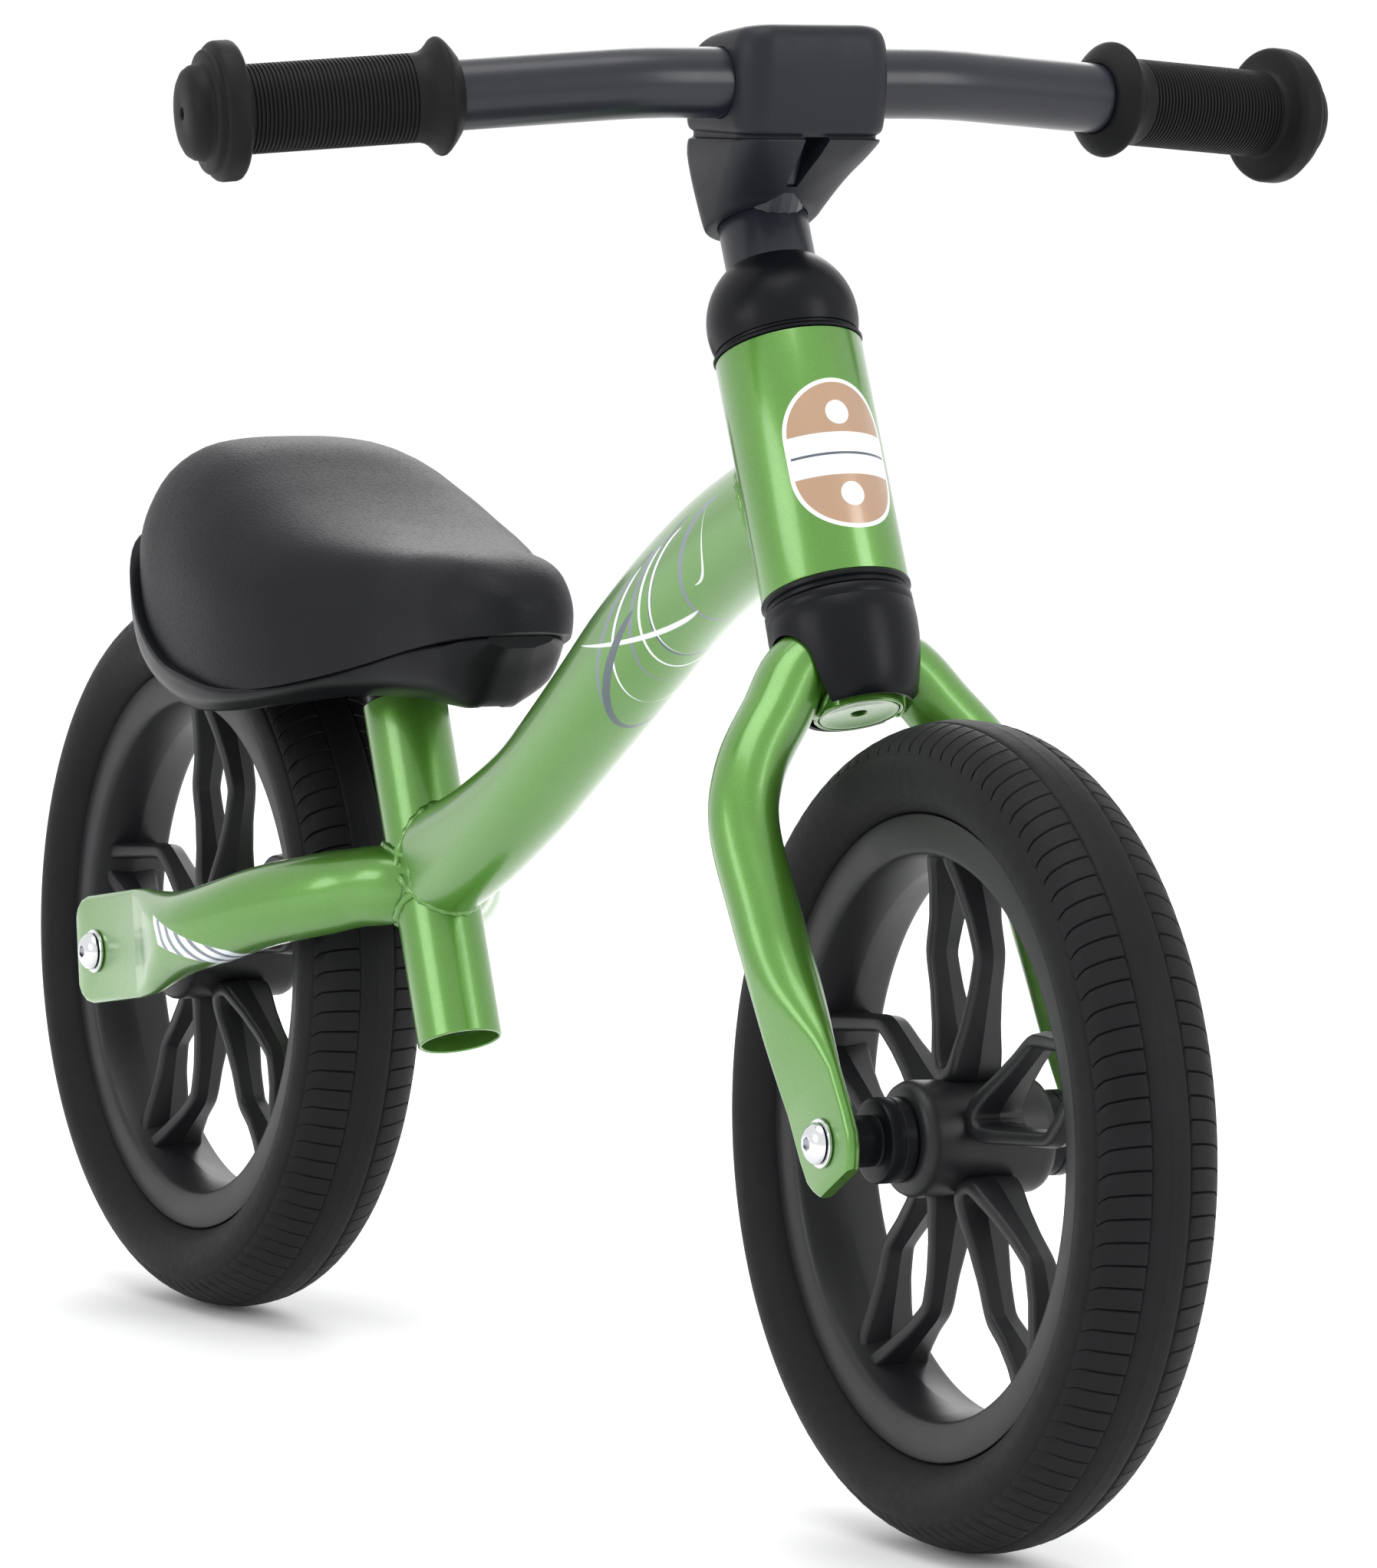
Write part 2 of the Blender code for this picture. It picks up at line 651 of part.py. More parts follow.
# ---- stem: column with quill, wedge, long bolt, extension; bar and grips ----
column = place(
    "stem_column",
    turned(
        [
            (QUILL_BOLT_RADIUS + GAP, COLUMN_TOP), (STEERER_RADIUS - 1.5, COLUMN_TOP),
            (STEERER_RADIUS, COLUMN_TOP - 1.5), (STEERER_RADIUS, STEERER_TOP + 0.5),
            (QUILL_RADIUS, STEERER_TOP + 0.5), (QUILL_RADIUS, QUILL_BOTTOM),
            (COLUMN_BORE_RADIUS, QUILL_BOTTOM), (COLUMN_BORE_RADIUS, COLUMN_TOP - 5.0),
            (QUILL_BOLT_RADIUS + GAP, COLUMN_TOP - 5.0),
        ],
        ROUND,
    ),
    BLACK, 0.6, 0.4, STEER,
)
SLANT = math.radians(30)
SLANT_HEIGHT = 36.0
slant = (
    STEER @ Matrix.Translation(Vector((0.0, 0.0, SLANT_HEIGHT)) * MM)
    @ Matrix.Rotation(SLANT, 4, "Y")
)
combine(column, cutter("quill_slant", block((-40.0, -20.0, -40.0), (40.0, 20.0, 0.0)), slant))
wedge = place(
    "quill_wedge",
    turned(plain_ring(QUILL_BOLT_RADIUS + GAP, QUILL_RADIUS - 0.1, 10.0, 50.0), ROUND),
    STEEL, 1.0, 0.4, STEER,
)
combine(
    wedge, cutter("wedge_slant", block((-40.0, -20.0, -GAP), (40.0, 20.0, 60.0)), slant)
)
QUILL_HEAD_RADIUS = 6.5
HEAD_BASE = COLUMN_TOP + GAP
HEAD_TOP = HEAD_BASE + 7.0
place(
    "quill_bolt",
    turned(
        [
            (QUILL_BOLT_RADIUS, 8.0), (QUILL_BOLT_RADIUS, HEAD_BASE),
            (QUILL_HEAD_RADIUS, HEAD_BASE), (QUILL_HEAD_RADIUS, HEAD_TOP - 0.8),
            (QUILL_HEAD_RADIUS - 0.8, HEAD_TOP), (3.2, HEAD_TOP), (3.2, HEAD_TOP - 4.0),
        ],
        hollow=False,
    ),
    STEEL, 1.0, 0.35, STEER,
)


def bar_forward(width):
    """How far the bar's centre line lies ahead of the steering axis at a given width."""
    reach = abs(width)
    if reach <= BEND_START:
        return BAR_FORWARD
    bend = BEND_END - BEND_START
    if reach >= BEND_END:
        return BAR_FORWARD - BAR_SWEEP * (bend / 2 + reach - BEND_END)
    return BAR_FORWARD - BAR_SWEEP * (reach - BEND_START) ** 2 / (2 * bend)


widths = [BEND_START + (BEND_END - BEND_START) * step / 3 for step in range(4)]
widths.append(BAR_HALF_LENGTH)
bar_line = [-width for width in widths[::-1]] + widths
bar_stations = [
    (bar_forward(width), width, BAR_HEIGHT, 2 * BAR_RADIUS, 2 * BAR_RADIUS)
    for width in bar_line
]
place(
    "handlebar", tube(bar_stations, UP, BAR_RADIUS - BAR_BORE_RADIUS, 16), BLACK, 0.6, 0.35, STEER
)
bar_tool = cutter(
    "bar_tool", rod(BAR_RADIUS + GAP, -60.0, 60.0, 24, axis="Y"),
    STEER @ Matrix.Translation(Vector((BAR_FORWARD, 0.0, BAR_HEIGHT)) * MM),
)
EXTENSION_FOOT = 124.0
EXTENSION_RADIUS = 11.0
extension_line = [
    (0.0, 0.0, EXTENSION_FOOT, 2 * EXTENSION_RADIUS, 2 * EXTENSION_RADIUS),
    (BAR_FORWARD, 0.0, BAR_HEIGHT, 2 * EXTENSION_RADIUS, 2 * EXTENSION_RADIUS),
]
extension = place(
    "stem_extension", tube(extension_line, Vector((0.0, 1.0, 0.0)), 2.0), BLACK, 0.6, 0.4, STEER
)
column_tool = cutter("column_tool", rod(STEERER_RADIUS + GAP, 60.0, COLUMN_TOP + 9.0, 24), STEER)
combine(extension, column_tool)
combine(extension, bar_tool)

GRIP_PROFILE = (
    (BAR_RADIUS + GAP, -5.5), (12.8, -5.5), (17.4, -2.0), (18.5, 0.0), (17.9, 1.8),
    (14.0, 5.8), (GRIP_RADIUS, 62.6), (20.4, 64.6),
    (21.75, 66.4), (21.75, 70.6), (20.6, 72.4), (19.2, 72.8), (19.2, 74.6), (15.2, 76.0),
    (14.2, 79.4), (11.0, 81.6), (1.9, 82.0), (1.9, 76.4), (BAR_RADIUS + GAP, 76.4),
)
for side, sign in SIDES:
    away = Vector((-BAR_SWEEP, sign, 0.0)).normalized()
    turn = UP.rotation_difference(away).to_matrix().to_4x4()
    spot = Vector((bar_forward(GRIP_POSITION), sign * GRIP_POSITION, BAR_HEIGHT)) * MM
    place(
        "grip_" + side, turned(GRIP_PROFILE, 16), RUBBER, 0.0, 0.7,
        STEER @ Matrix.Translation(spot) @ turn,
    )

# ---- bar pad: one moulded piece closed round the bar and the top of the stem ----
# level rings from the top down: (middle x, middle z, length, width, corner, tilt in degrees)
PAD_LEVELS = (
    (146.0, 460.4, 26.0, 40.0, 5.0, -7.0),
    (144.6, 458.4, 38.0, 47.0, 8.0, -8.0),
    (142.9, 453.8, 45.5, 52.0, 9.5, -7.0),
    (141.6, 443.0, 48.5, 53.5, 10.0, -1.0),
    (141.0, 430.0, 47.5, 52.6, 10.0, 0.0),
    (141.0, 428.0, 46.0, 51.4, 9.5, 0.0),
    (141.0, 427.6, 43.0, 48.6, 8.5, 0.0),
    (140.6, 426.2, 43.0, 48.6, 8.5, -1.0),
    (140.4, 425.6, 46.0, 51.6, 9.5, -2.0),
    (135.6, 417.0, 43.5, 46.0, 12.0, -9.0),
    (130.6, 408.0, 39.6, 40.2, 15.0, -18.0),
    (127.1, 400.2, 36.0, 35.4, 16.8, -25.5),
    (126.6, 399.0, 34.0, 33.4, 16.2, -25.5),
)
pad_rings = []
for middle, height, length, width, corner, tilt in PAD_LEVELS:
    lean = math.radians(tilt)
    along = Vector((math.cos(lean), 0.0, -math.sin(lean)))
    pad_rings.append(
        [
            Vector((middle, v, height)) + along * u
            for u, v in outline(length, width, corner, 20)
        ]
    )
pad = place("bar_pad", loft(pad_rings), RUBBER, 0.0, 0.6)
combine(pad, bar_tool)
combine(
    pad, cutter("pad_column_tool", rod(STEERER_RADIUS + 0.4, 110.0, HEAD_TOP + 0.6, 24), STEER)
)
wide_extension = [
    (x, y, z, tall + 2 * GAP, wide + 2 * GAP) for x, y, z, tall, wide in extension_line
]
combine(
    pad,
    cutter("pad_extension_tool", loft(tube_rings(wide_extension, Vector((0.0, 1.0, 0.0)))), STEER),
)
slot_rings = [
    [
        Vector((reach, -half, height)), Vector((reach, half, height)),
        Vector((180.0, half, height)), Vector((180.0, -half, height)),
    ]
    for reach, half, height in ((146.0, 4.4, 427.0), (136.0, 3.0, 417.0), (134.0, 1.9, 411.0))
]
combine(pad, cutter("pad_slot", loft(slot_rings)))


# ---- saddle: moulded cushion in a plastic base, held to the post by a cross bolt ----
# stations along the cushion: (x, half width, top, shoulder, edge, lip)
CUSHION = (
    (-264.0, 27.0, 276.0, 274.0, 271.0, 268.0), (-258.5, 38.5, 290.5, 284.0, 270.0, 259.0),
    (-246.0, 47.5, 302.5, 293.5, 269.0, 249.0), (-228.0, 53.5, 310.0, 299.0, 268.5, 239.0),
    (-204.0, 57.0, 308.5, 298.0, 267.0, 232.0), (-180.0, 59.0, 300.5, 291.5, 264.0, 229.0),
    (-156.0, 58.5, 292.5, 284.5, 260.0, 229.0), (-132.0, 54.0, 286.5, 280.0, 258.0, 231.5),
    (-110.0, 45.5, 283.0, 277.5, 257.0, 236.5), (-90.0, 36.0, 281.5, 276.5, 257.5, 242.5),
    (-70.0, 29.8, 281.7, 276.5, 259.0, 248.5), (-54.0, 25.3, 280.3, 275.0, 260.0, 252.5),
    (-43.0, 19.5, 276.3, 271.5, 260.5, 255.0), (-36.5, 12.5, 270.5, 268.0, 260.0, 256.0),
    (-34.0, 6.0, 265.5, 264.5, 260.0, 257.0),
)
# stations along the base: (x, half width, rim, half width at the foot, foot)
BASE = (
    (-266.4, 28.0, 275.5, 25.0, 262.0), (-261.0, 41.5, 274.0, 38.0, 251.5),
    (-248.0, 50.5, 264.0, 45.5, 240.0), (-229.0, 56.0, 247.5, 49.5, 228.5),
    (-204.0, 59.2, 236.0, 52.0, 222.0), (-180.0, 60.6, 232.0, 53.0, 219.8),
    (-156.0, 58.6, 229.6, 50.0, 222.0), (-132.0, 51.5, 231.8, 43.0, 226.0),
    (-112.0, 43.5, 236.0, 28.0, 230.0), (-92.0, 34.5, 242.0, 14.0, 230.5),
    (-74.0, 29.0, 247.5, 9.0, 229.5), (-61.0, 24.5, 250.8, 7.5, 230.0),
    (-54.0, 22.0, 252.0, 7.0, 237.0), (-48.0, 18.0, 253.8, 6.0, 245.0),
    (-42.0, 12.0, 255.0, 5.0, 251.0),
)
BASE_WALL = 3.0
ARCH_GAP = 7.5
ARCH_HALF_WIDTH = 29.0


def cushion_ring(station, grow=0.0):
    """Closed section of the cushion, all round larger by grow."""
    x, half, top, shoulder, edge, lip = station
    side_points = (
        (0.0, top), (0.46, top - 0.12 * (top - shoulder)), (0.80, shoulder),
        (0.94, shoulder - 0.4 * (shoulder - edge)), (1.0, edge), (1.0, edge - 0.5 * (edge - lip)),
        (0.97, lip),
    )
    ring = [Vector((x, share * half + grow * (share > 0), z)) for share, z in side_points]
    ring[-1].z -= grow
    ring += [Vector((point.x, -point.y, point.z)) for point in ring[:0:-1]]
    return ring


def base_ring(station):
    x, half, rim, low_half, low = station
    middle = half - 0.25 * (half - low_half)
    ring = [
        Vector((x, half, rim)), Vector((x, middle, rim - 0.6 * (rim - low))),
        Vector((x, low_half, low)),
    ]
    return ring + [Vector((point.x, -point.y, point.z)) for point in ring[::-1]]


cushion = place(
    "saddle_cushion", loft([cushion_ring(station) for station in CUSHION]), RUBBER, 0.0, 0.6
)
base = place("saddle_base", loft([base_ring(station) for station in BASE]), BLACK, 0.0, 0.45)
hood_radius = WHEEL_RADIUS + ARCH_GAP + BASE_WALL
hood_half = ARCH_HALF_WIDTH + BASE_WALL
combine(
    cushion,
    cutter("cushion_arch_room", rod(hood_radius + GAP, -hood_half - GAP, hood_half + GAP, 48, "Y"),
           REAR),
)
room = [cushion_ring(station, 2 * GAP) for station in CUSHION]
for point in room[0]:
    point.x -= GAP
for point in room[-1]:
    point.x += GAP
combine(base, cutter("base_cushion_room", loft(room)))
hood = cutter("base_hood", rod(hood_radius, -hood_half, hood_half, 48, "Y"), REAR)
hood_trim = cutter(
    "base_hood_trim", block((-430.0, -60.0, -20.0), (-130.0, 60.0, 231.0)),
)
hood_tail = cutter(
    "base_hood_tail", block((-440.0, -60.0, 200.0), (-262.0, 60.0, 300.0)),
)
combine(hood, hood_trim)
combine(hood, hood_tail)
combine(base, hood, "UNION")
hollow = []
for x, half, rim, low_half, low in BASE[3:12]:
    wide = low_half - BASE_WALL
    high = rim - BASE_WALL - 1.0
    if x < -200.0:
        high = low + 3.0
    hollow.append(
        [
            Vector((x, -wide, low - 6.0)), Vector((x, wide, low - 6.0)),
            Vector((x, wide, high)), Vector((x, -wide, high)),
        ]
    )
combine(base, cutter("base_hollow", loft(hollow)))
arch = cutter(
    "base_wheel_arch",
    rod(WHEEL_RADIUS + ARCH_GAP, -ARCH_HALF_WIDTH, ARCH_HALF_WIDTH, 48, "Y"),
    REAR,
)
combine(base, arch)
mouth = cutter("base_tube_mouth", rod(SEAT_TUBE_RADIUS + 1.5, -30.0, 3.0, 24), SEAT)
combine(base, mouth)
socket = cutter("base_socket", rod(SOCKET_RADIUS, SOCKET_LOW, SOCKET_HIGH, ROUND), SEAT)
combine(base, socket, "UNION")
combine(
    cushion,
    cutter("cushion_socket_room", rod(SOCKET_RADIUS + 0.5, 0.0, SOCKET_HIGH + 0.8, ROUND), SEAT),
)
post_tool = cutter(
    "post_tool", rod(POST_RADIUS + GAP, SOCKET_LOW - 10.0, POST_ABOVE_TUBE + GAP, 24), SEAT
)
combine(base, post_tool)
CROSS_BOLT_HEIGHT = 22.5
CROSS_BOLT_RADIUS = 3.0
cross = SEAT @ Matrix.Translation(Vector((0.0, 0.0, CROSS_BOLT_HEIGHT)) * MM)
cross_tool = cutter(
    "cross_tool", rod(CROSS_BOLT_RADIUS + GAP, -24.0, 24.0, axis="Y"), cross
)
post = place(
    "seat_post",
    turned(
        plain_ring(POST_BORE_RADIUS, POST_RADIUS, POST_ABOVE_TUBE_FOOT - SEAT_TUBE_LENGTH,
                   POST_ABOVE_TUBE),
        ROUND,
    ),
    BLACK, 0.5, 0.4, SEAT,
)
combine(post, cross_tool)
combine(base, cross_tool)
combine(cushion, cutter("cross_room", rod(7.0, -23.5, 23.5, axis="Y"), cross))
NUT_THICKNESS = 4.0
HEAD_START = SOCKET_RADIUS + GAP
place(
    "saddle_bolt",
    turned(
        [
            (CROSS_BOLT_RADIUS, HEAD_START + NUT_THICKNESS + 2.0),
            (CROSS_BOLT_RADIUS, -HEAD_START), (5.2, -HEAD_START), (5.2, -HEAD_START - 3.0),
            (3.6, -HEAD_START - 4.0),
        ],
        hollow=False, axis="Y",
    ),
    STEEL, 1.0, 0.3, cross,
)
place(
    "saddle_nut",
    turned(
        plain_ring(CROSS_BOLT_RADIUS + GAP, 5.8, HEAD_START, HEAD_START + NUT_THICKNESS),
        6 * 2, axis="Y",
    ),
    STEEL, 1.0, 0.3, cross,
)
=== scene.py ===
import math

import bmesh
import bpy
from mathutils import Matrix, Vector


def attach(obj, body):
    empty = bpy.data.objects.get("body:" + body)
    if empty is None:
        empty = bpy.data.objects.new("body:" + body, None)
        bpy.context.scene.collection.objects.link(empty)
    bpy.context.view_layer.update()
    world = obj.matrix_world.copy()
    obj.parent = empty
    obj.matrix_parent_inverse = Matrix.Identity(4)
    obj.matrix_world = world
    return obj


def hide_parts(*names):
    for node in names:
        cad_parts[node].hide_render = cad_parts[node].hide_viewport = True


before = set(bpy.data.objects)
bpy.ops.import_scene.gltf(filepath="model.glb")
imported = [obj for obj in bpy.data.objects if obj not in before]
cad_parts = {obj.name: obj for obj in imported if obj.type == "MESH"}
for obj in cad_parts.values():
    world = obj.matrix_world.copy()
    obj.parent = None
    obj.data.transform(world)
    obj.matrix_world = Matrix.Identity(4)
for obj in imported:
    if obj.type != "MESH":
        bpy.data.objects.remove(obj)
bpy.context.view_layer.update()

MM = 0.001

# ---- studio ----
# A pale floor and soft boxes round the bike, with a long lens low on its right-hand front
# quarter.  Nothing here is part of the bike.


def aimed_light(name, place, target, width, height, watts):
    lamp = bpy.data.lights.new(name, "AREA")
    lamp.shape = "RECTANGLE"
    lamp.size = width
    lamp.size_y = height
    lamp.energy = watts
    holder = bpy.data.objects.new(name, lamp)
    bpy.context.scene.collection.objects.link(holder)
    holder.location = place
    aim = Vector(target) - Vector(place)
    holder.rotation_euler = aim.to_track_quat("-Z", "Y").to_euler()


lens = bpy.data.cameras.new("studio_camera")
lens.sensor_width = 36.0
lens.lens = 231.55
lens.clip_start = 0.1
lens.clip_end = 50.0
camera = bpy.data.objects.new("studio_camera", lens)
bpy.context.scene.collection.objects.link(camera)
CAMERA_RIGHT = Vector((0.45287, 0.89139, 0.01819))
CAMERA_UP = Vector((-0.09152, 0.02618, 0.99546))
CAMERA_BACK = Vector((0.88687, -0.45247, 0.09343))
turn_to_view = Matrix((CAMERA_RIGHT, CAMERA_UP, CAMERA_BACK)).transposed().to_4x4()
camera.matrix_world = Matrix.Translation((2.95047, -1.46309, 0.51942)) @ turn_to_view
bpy.context.scene.camera = camera
bpy.context.scene.view_settings.view_transform = "Standard"

aimed_light("top_box", (0.2, -0.3, 2.2), (0.0, 0.0, 0.2), 1.5, 1.5, 20.0)
aimed_light("front_box", (2.2, 1.2, 1.2), (0.1, 0.0, 0.25), 0.9, 1.3, 17.0)
aimed_light("right_box", (0.3, -2.4, 1.0), (0.0, 0.0, 0.25), 1.3, 1.0, 14.0)
aimed_light("back_box", (-2.0, 1.2, 1.4), (0.0, 0.0, 0.25), 1.2, 1.2, 12.0)

world = bpy.data.worlds.new("studio_air")
world.use_nodes = True
world.node_tree.nodes["Background"].inputs["Color"].default_value = (1.0, 1.0, 1.0, 1.0)
world.node_tree.nodes["Background"].inputs["Strength"].default_value = 1.06
bpy.context.scene.world = world

bpy.ops.object.select_all(action="DESELECT")
bpy.ops.mesh.primitive_plane_add(size=30.0, location=(0.0, 0.0, -0.0006))
floor = bpy.context.object
floor.name = "studio_floor"


# ---- paint on the welded frame ----
# The frame and fork are powder coated in one metallic green, with fine flake under a clear
# coat.  Value lets a pattern be written as ordinary sums; Finish holds one material.


class Value:
    """A number that changes over a surface."""

    def __init__(self, finish, socket):
        self.finish = finish
        self.socket = socket

    def worked(self, operation, *others):
        node = self.finish.add("ShaderNodeMath", {"operation": operation}, [self, *others])
        return Value(self.finish, node.outputs[0])

    def after(self, operation, other):
        node = self.finish.add("ShaderNodeMath", {"operation": operation}, [other, self])
        return Value(self.finish, node.outputs[0])

    def __add__(self, other):
        return self.worked("ADD", other)

    def __radd__(self, other):
        return self.after("ADD", other)

    def __sub__(self, other):
        return self.worked("SUBTRACT", other)

    def __rsub__(self, other):
        return self.after("SUBTRACT", other)

    def __mul__(self, other):
        return self.worked("MULTIPLY", other)

    def __rmul__(self, other):
        return self.after("MULTIPLY", other)

    def __truediv__(self, other):
        return self.worked("DIVIDE", other)

    def __abs__(self):
        return self.worked("ABSOLUTE")

    def greatest(self, other):
        return self.worked("MAXIMUM", other)

    def least(self, other):
        return self.worked("MINIMUM", other)

    def rising(self, low, high):
        """0 below low, 1 above high, smooth between; low above high turns it round."""
        sockets = {"Value": self, "From Min": low, "From Max": high}
        node = self.finish.add(
            "ShaderNodeMapRange", {"interpolation_type": "SMOOTHSTEP"}, sockets
        )
        return Value(self.finish, node.outputs["Result"])


class Finish:
    """One material: a shader, and the nodes that feed it."""

    def __init__(self, name, colour, roughness, metallic=0.0, coat=0.0, coat_roughness=0.04,
                 shine=0.5):
        self.material = bpy.data.materials.new(name)
        self.material.use_nodes = True
        self.tree = self.material.node_tree
        self.shader = self.tree.nodes["Principled BSDF"]
        self.shader.inputs["Base Color"].default_value = (*colour, 1.0)
        self.shader.inputs["Roughness"].default_value = roughness
        self.shader.inputs["Metallic"].default_value = metallic
        self.shader.inputs["Coat Weight"].default_value = coat
        self.shader.inputs["Coat Roughness"].default_value = coat_roughness
        self.shader.inputs["Specular IOR Level"].default_value = shine
        self.spot = None

    def add(self, kind, settings, sockets):
        """Any node: settings first, then its sockets by name or in order."""
        node = self.tree.nodes.new(kind)
        for name, value in settings.items():
            setattr(node, name, value)
        pairs = sockets.items() if isinstance(sockets, dict) else enumerate(sockets)
        for key, value in pairs:
            if isinstance(value, Value):
                value = value.socket
            if isinstance(value, bpy.types.NodeSocket):
                self.tree.links.new(value, node.inputs[key])
            else:
                node.inputs[key].default_value = value
        return node

    def place(self):
        """Object coordinates, in millimetres."""
        if self.spot is None:
            where = self.add("ShaderNodeTexCoord", {}, {})
            scaled = self.add(
                "ShaderNodeVectorMath", {"operation": "SCALE"},
                {"Vector": where.outputs["Object"], "Scale": 1.0 / MM},
            )
            self.spot = scaled.outputs["Vector"]
        return self.spot

    def axes(self):
        parts = self.add("ShaderNodeSeparateXYZ", {}, [self.place()])
        return [Value(self, socket) for socket in parts.outputs]

    def grain(self, size, detail=2.0, roughness=0.5):
        """Soft noise from 0 to 1 with grains of the given size in millimetres."""
        sockets = {
            "Vector": self.place(), "Scale": 1.0 / size, "Detail": detail,
            "Roughness": roughness,
        }
        return Value(self, self.add("ShaderNodeTexNoise", {}, sockets).outputs[0])

    def cells(self, size):
        """Pebbled cells, 0 in their middles, of the given size in millimetres."""
        sockets = {"Vector": self.place(), "Scale": 1.0 / size}
        return Value(self, self.add("ShaderNodeTexVoronoi", {}, sockets).outputs["Distance"])

    def mixed(self, mask, first, second):
        """The first colour where the mask is 0, the second where it is 1."""
        node = self.add("ShaderNodeMix", {"data_type": "RGBA"}, {0: mask})
        for key, colour in ((6, first), (7, second)):
            if isinstance(colour, bpy.types.NodeSocket):
                self.tree.links.new(colour, node.inputs[key])
            else:
                node.inputs[key].default_value = (*colour, 1.0)
        return node.outputs[2]

    def feed(self, name, source):
        socket = source.socket if isinstance(source, Value) else source
        self.tree.links.new(socket, self.shader.inputs[name])

    def raise_surface(self, height, depth):
        """Bump of the given depth in millimetres where height runs from 0 to 1."""
        node = self.add(
            "ShaderNodeBump", {}, {"Height": height, "Strength": 1.0, "Distance": depth * MM}
        )
        self.feed("Normal", node.outputs["Normal"])


GREEN_DARK = (0.048, 0.175, 0.014)
GREEN_LIGHT = (0.115, 0.300, 0.038)


def green_finish(name):
    """Metallic green; returns the finish and its colour, for marks to be laid over."""
    finish = Finish(name, GREEN_LIGHT, 0.36, 0.6, 1.0, 0.16)
    flake = finish.grain(0.45, 1.0)
    cloud = finish.grain(38.0, 1.0)
    colour = finish.mixed(flake * 0.75 + cloud * 0.25, GREEN_DARK, GREEN_LIGHT)
    finish.feed("Base Color", colour)
    finish.feed("Roughness", 0.30 + finish.grain(1.1) * 0.14)
    peel = finish.grain(5.0, 1.0)
    finish.raise_surface(peel + flake * 0.08, 0.05)
    return finish, colour


plain_green, _ = green_finish("green_paint")


# ---- head tube ----
# Straight drawn steel tube, faced at both ends, with the headset bearings pressed inside.
# An oval transfer under the clear coat faces forwards.
HEAD_BOTTOM = Vector((181.0, 0.0, 285.9))
HEAD_LEAN = math.radians(25.5)
HEAD_LENGTH = 80.7
HEAD_RADIUS = 23.3
HEAD_BORE = 20.6
STEER = Matrix.Translation(HEAD_BOTTOM * MM) @ Matrix.Rotation(-HEAD_LEAN, 4, "Y")
BADGE_MIDDLE = 38.0
BADGE_STRAIGHT = 6.0
BADGE_RADIUS = 19.0
BADGE_RIM = 1.3
TAN = (0.36, 0.22, 0.13)
PALE = (0.80, 0.84, 0.88)


def alone(piece):
    """Select one piece and nothing else."""
    if bpy.context.object and bpy.context.object.mode == "EDIT":
        bpy.ops.object.mode_set(mode="OBJECT")
    bpy.ops.object.select_all(action="DESELECT")
    piece.select_set(True)
    bpy.context.view_layer.objects.active = piece


def settled(piece, place):
    """Stand a piece at its place, with its own origin and axes left at the world's."""
    if place is not None:
        alone(piece)
        piece.matrix_world = place
        bpy.ops.object.transform_apply()


def turned(name, profile, sides, place=None, hollow=True):
    """Ring extruded along its axis and resized at each (radius, height) of a profile."""
    bpy.ops.object.select_all(action="DESELECT")
    radius, height = profile[0]
    bpy.ops.mesh.primitive_circle_add(
        vertices=sides, radius=radius * MM, location=(0.0, 0.0, height * MM),
        fill_type="NOTHING" if hollow else "NGON",
    )
    piece = bpy.context.object
    piece.name = name
    bpy.ops.object.transform_apply()
    bpy.ops.object.mode_set(mode="EDIT")
    line = list(profile) + ([profile[0]] if hollow else [])
    for (last_radius, last_height), (radius, height) in zip(line, line[1:]):
        bpy.ops.mesh.extrude_region_move(
            TRANSFORM_OT_translate={"value": (0.0, 0.0, (height - last_height) * MM)}
        )
        grow = radius / last_radius
        bpy.ops.transform.resize(
            value=(grow, grow, 1.0), center_override=(0.0, 0.0, height * MM)
        )
    bpy.ops.mesh.select_all(action="SELECT")
    bpy.ops.mesh.remove_doubles(threshold=1e-6)
    bpy.ops.mesh.normals_make_consistent(inside=False)
    bpy.ops.object.mode_set(mode="OBJECT")
    settled(piece, place)
    return piece


def fitted(piece, finish, body, slot, *nodes, sharp=32.0):
    """Smooth a finished piece, give it its finish and body, and hide the nodes it is for."""
    alone(piece)
    bpy.ops.object.shade_smooth_by_angle(angle=math.radians(sharp))
    piece.data.materials.clear()
    piece.data.materials.append(finish.material)
    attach(piece, body)
    if nodes:
        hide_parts(*nodes)


badge_green, under_badge = green_finish("green_paint_with_badge")
east, north, high = badge_green.axes()
forward = (east - HEAD_BOTTOM.x) * math.cos(HEAD_LEAN) + (high - HEAD_BOTTOM.z) * math.sin(
    HEAD_LEAN
)
along = (high - HEAD_BOTTOM.z) * math.cos(HEAD_LEAN) - (east - HEAD_BOTTOM.x) * math.sin(
    HEAD_LEAN
)
arc = north.worked("ARCTAN2", forward) * HEAD_RADIUS
past_straight = (abs(along - BADGE_MIDDLE) - BADGE_STRAIGHT).greatest(0.0)
from_middle = (arc * arc + past_straight * past_straight).worked("SQRT")
inside_badge = from_middle.rising(BADGE_RADIUS + 0.15, BADGE_RADIUS - 0.15)
inside_rim = from_middle.rising(BADGE_RADIUS - BADGE_RIM + 0.15, BADGE_RADIUS - BADGE_RIM - 0.15)
band = abs(along - BADGE_MIDDLE).rising(7.2, 6.8)
band_line = abs(along - BADGE_MIDDLE).rising(0.55, 0.35)
spot_height = abs(along - BADGE_MIDDLE) - 13.6
spot = (arc * arc + spot_height * spot_height).worked("SQRT").rising(4.1, 3.8)
badge = badge_green.mixed(band.greatest(spot), TAN, PALE)
badge = badge_green.mixed(band_line, badge, (0.05, 0.07, 0.09))
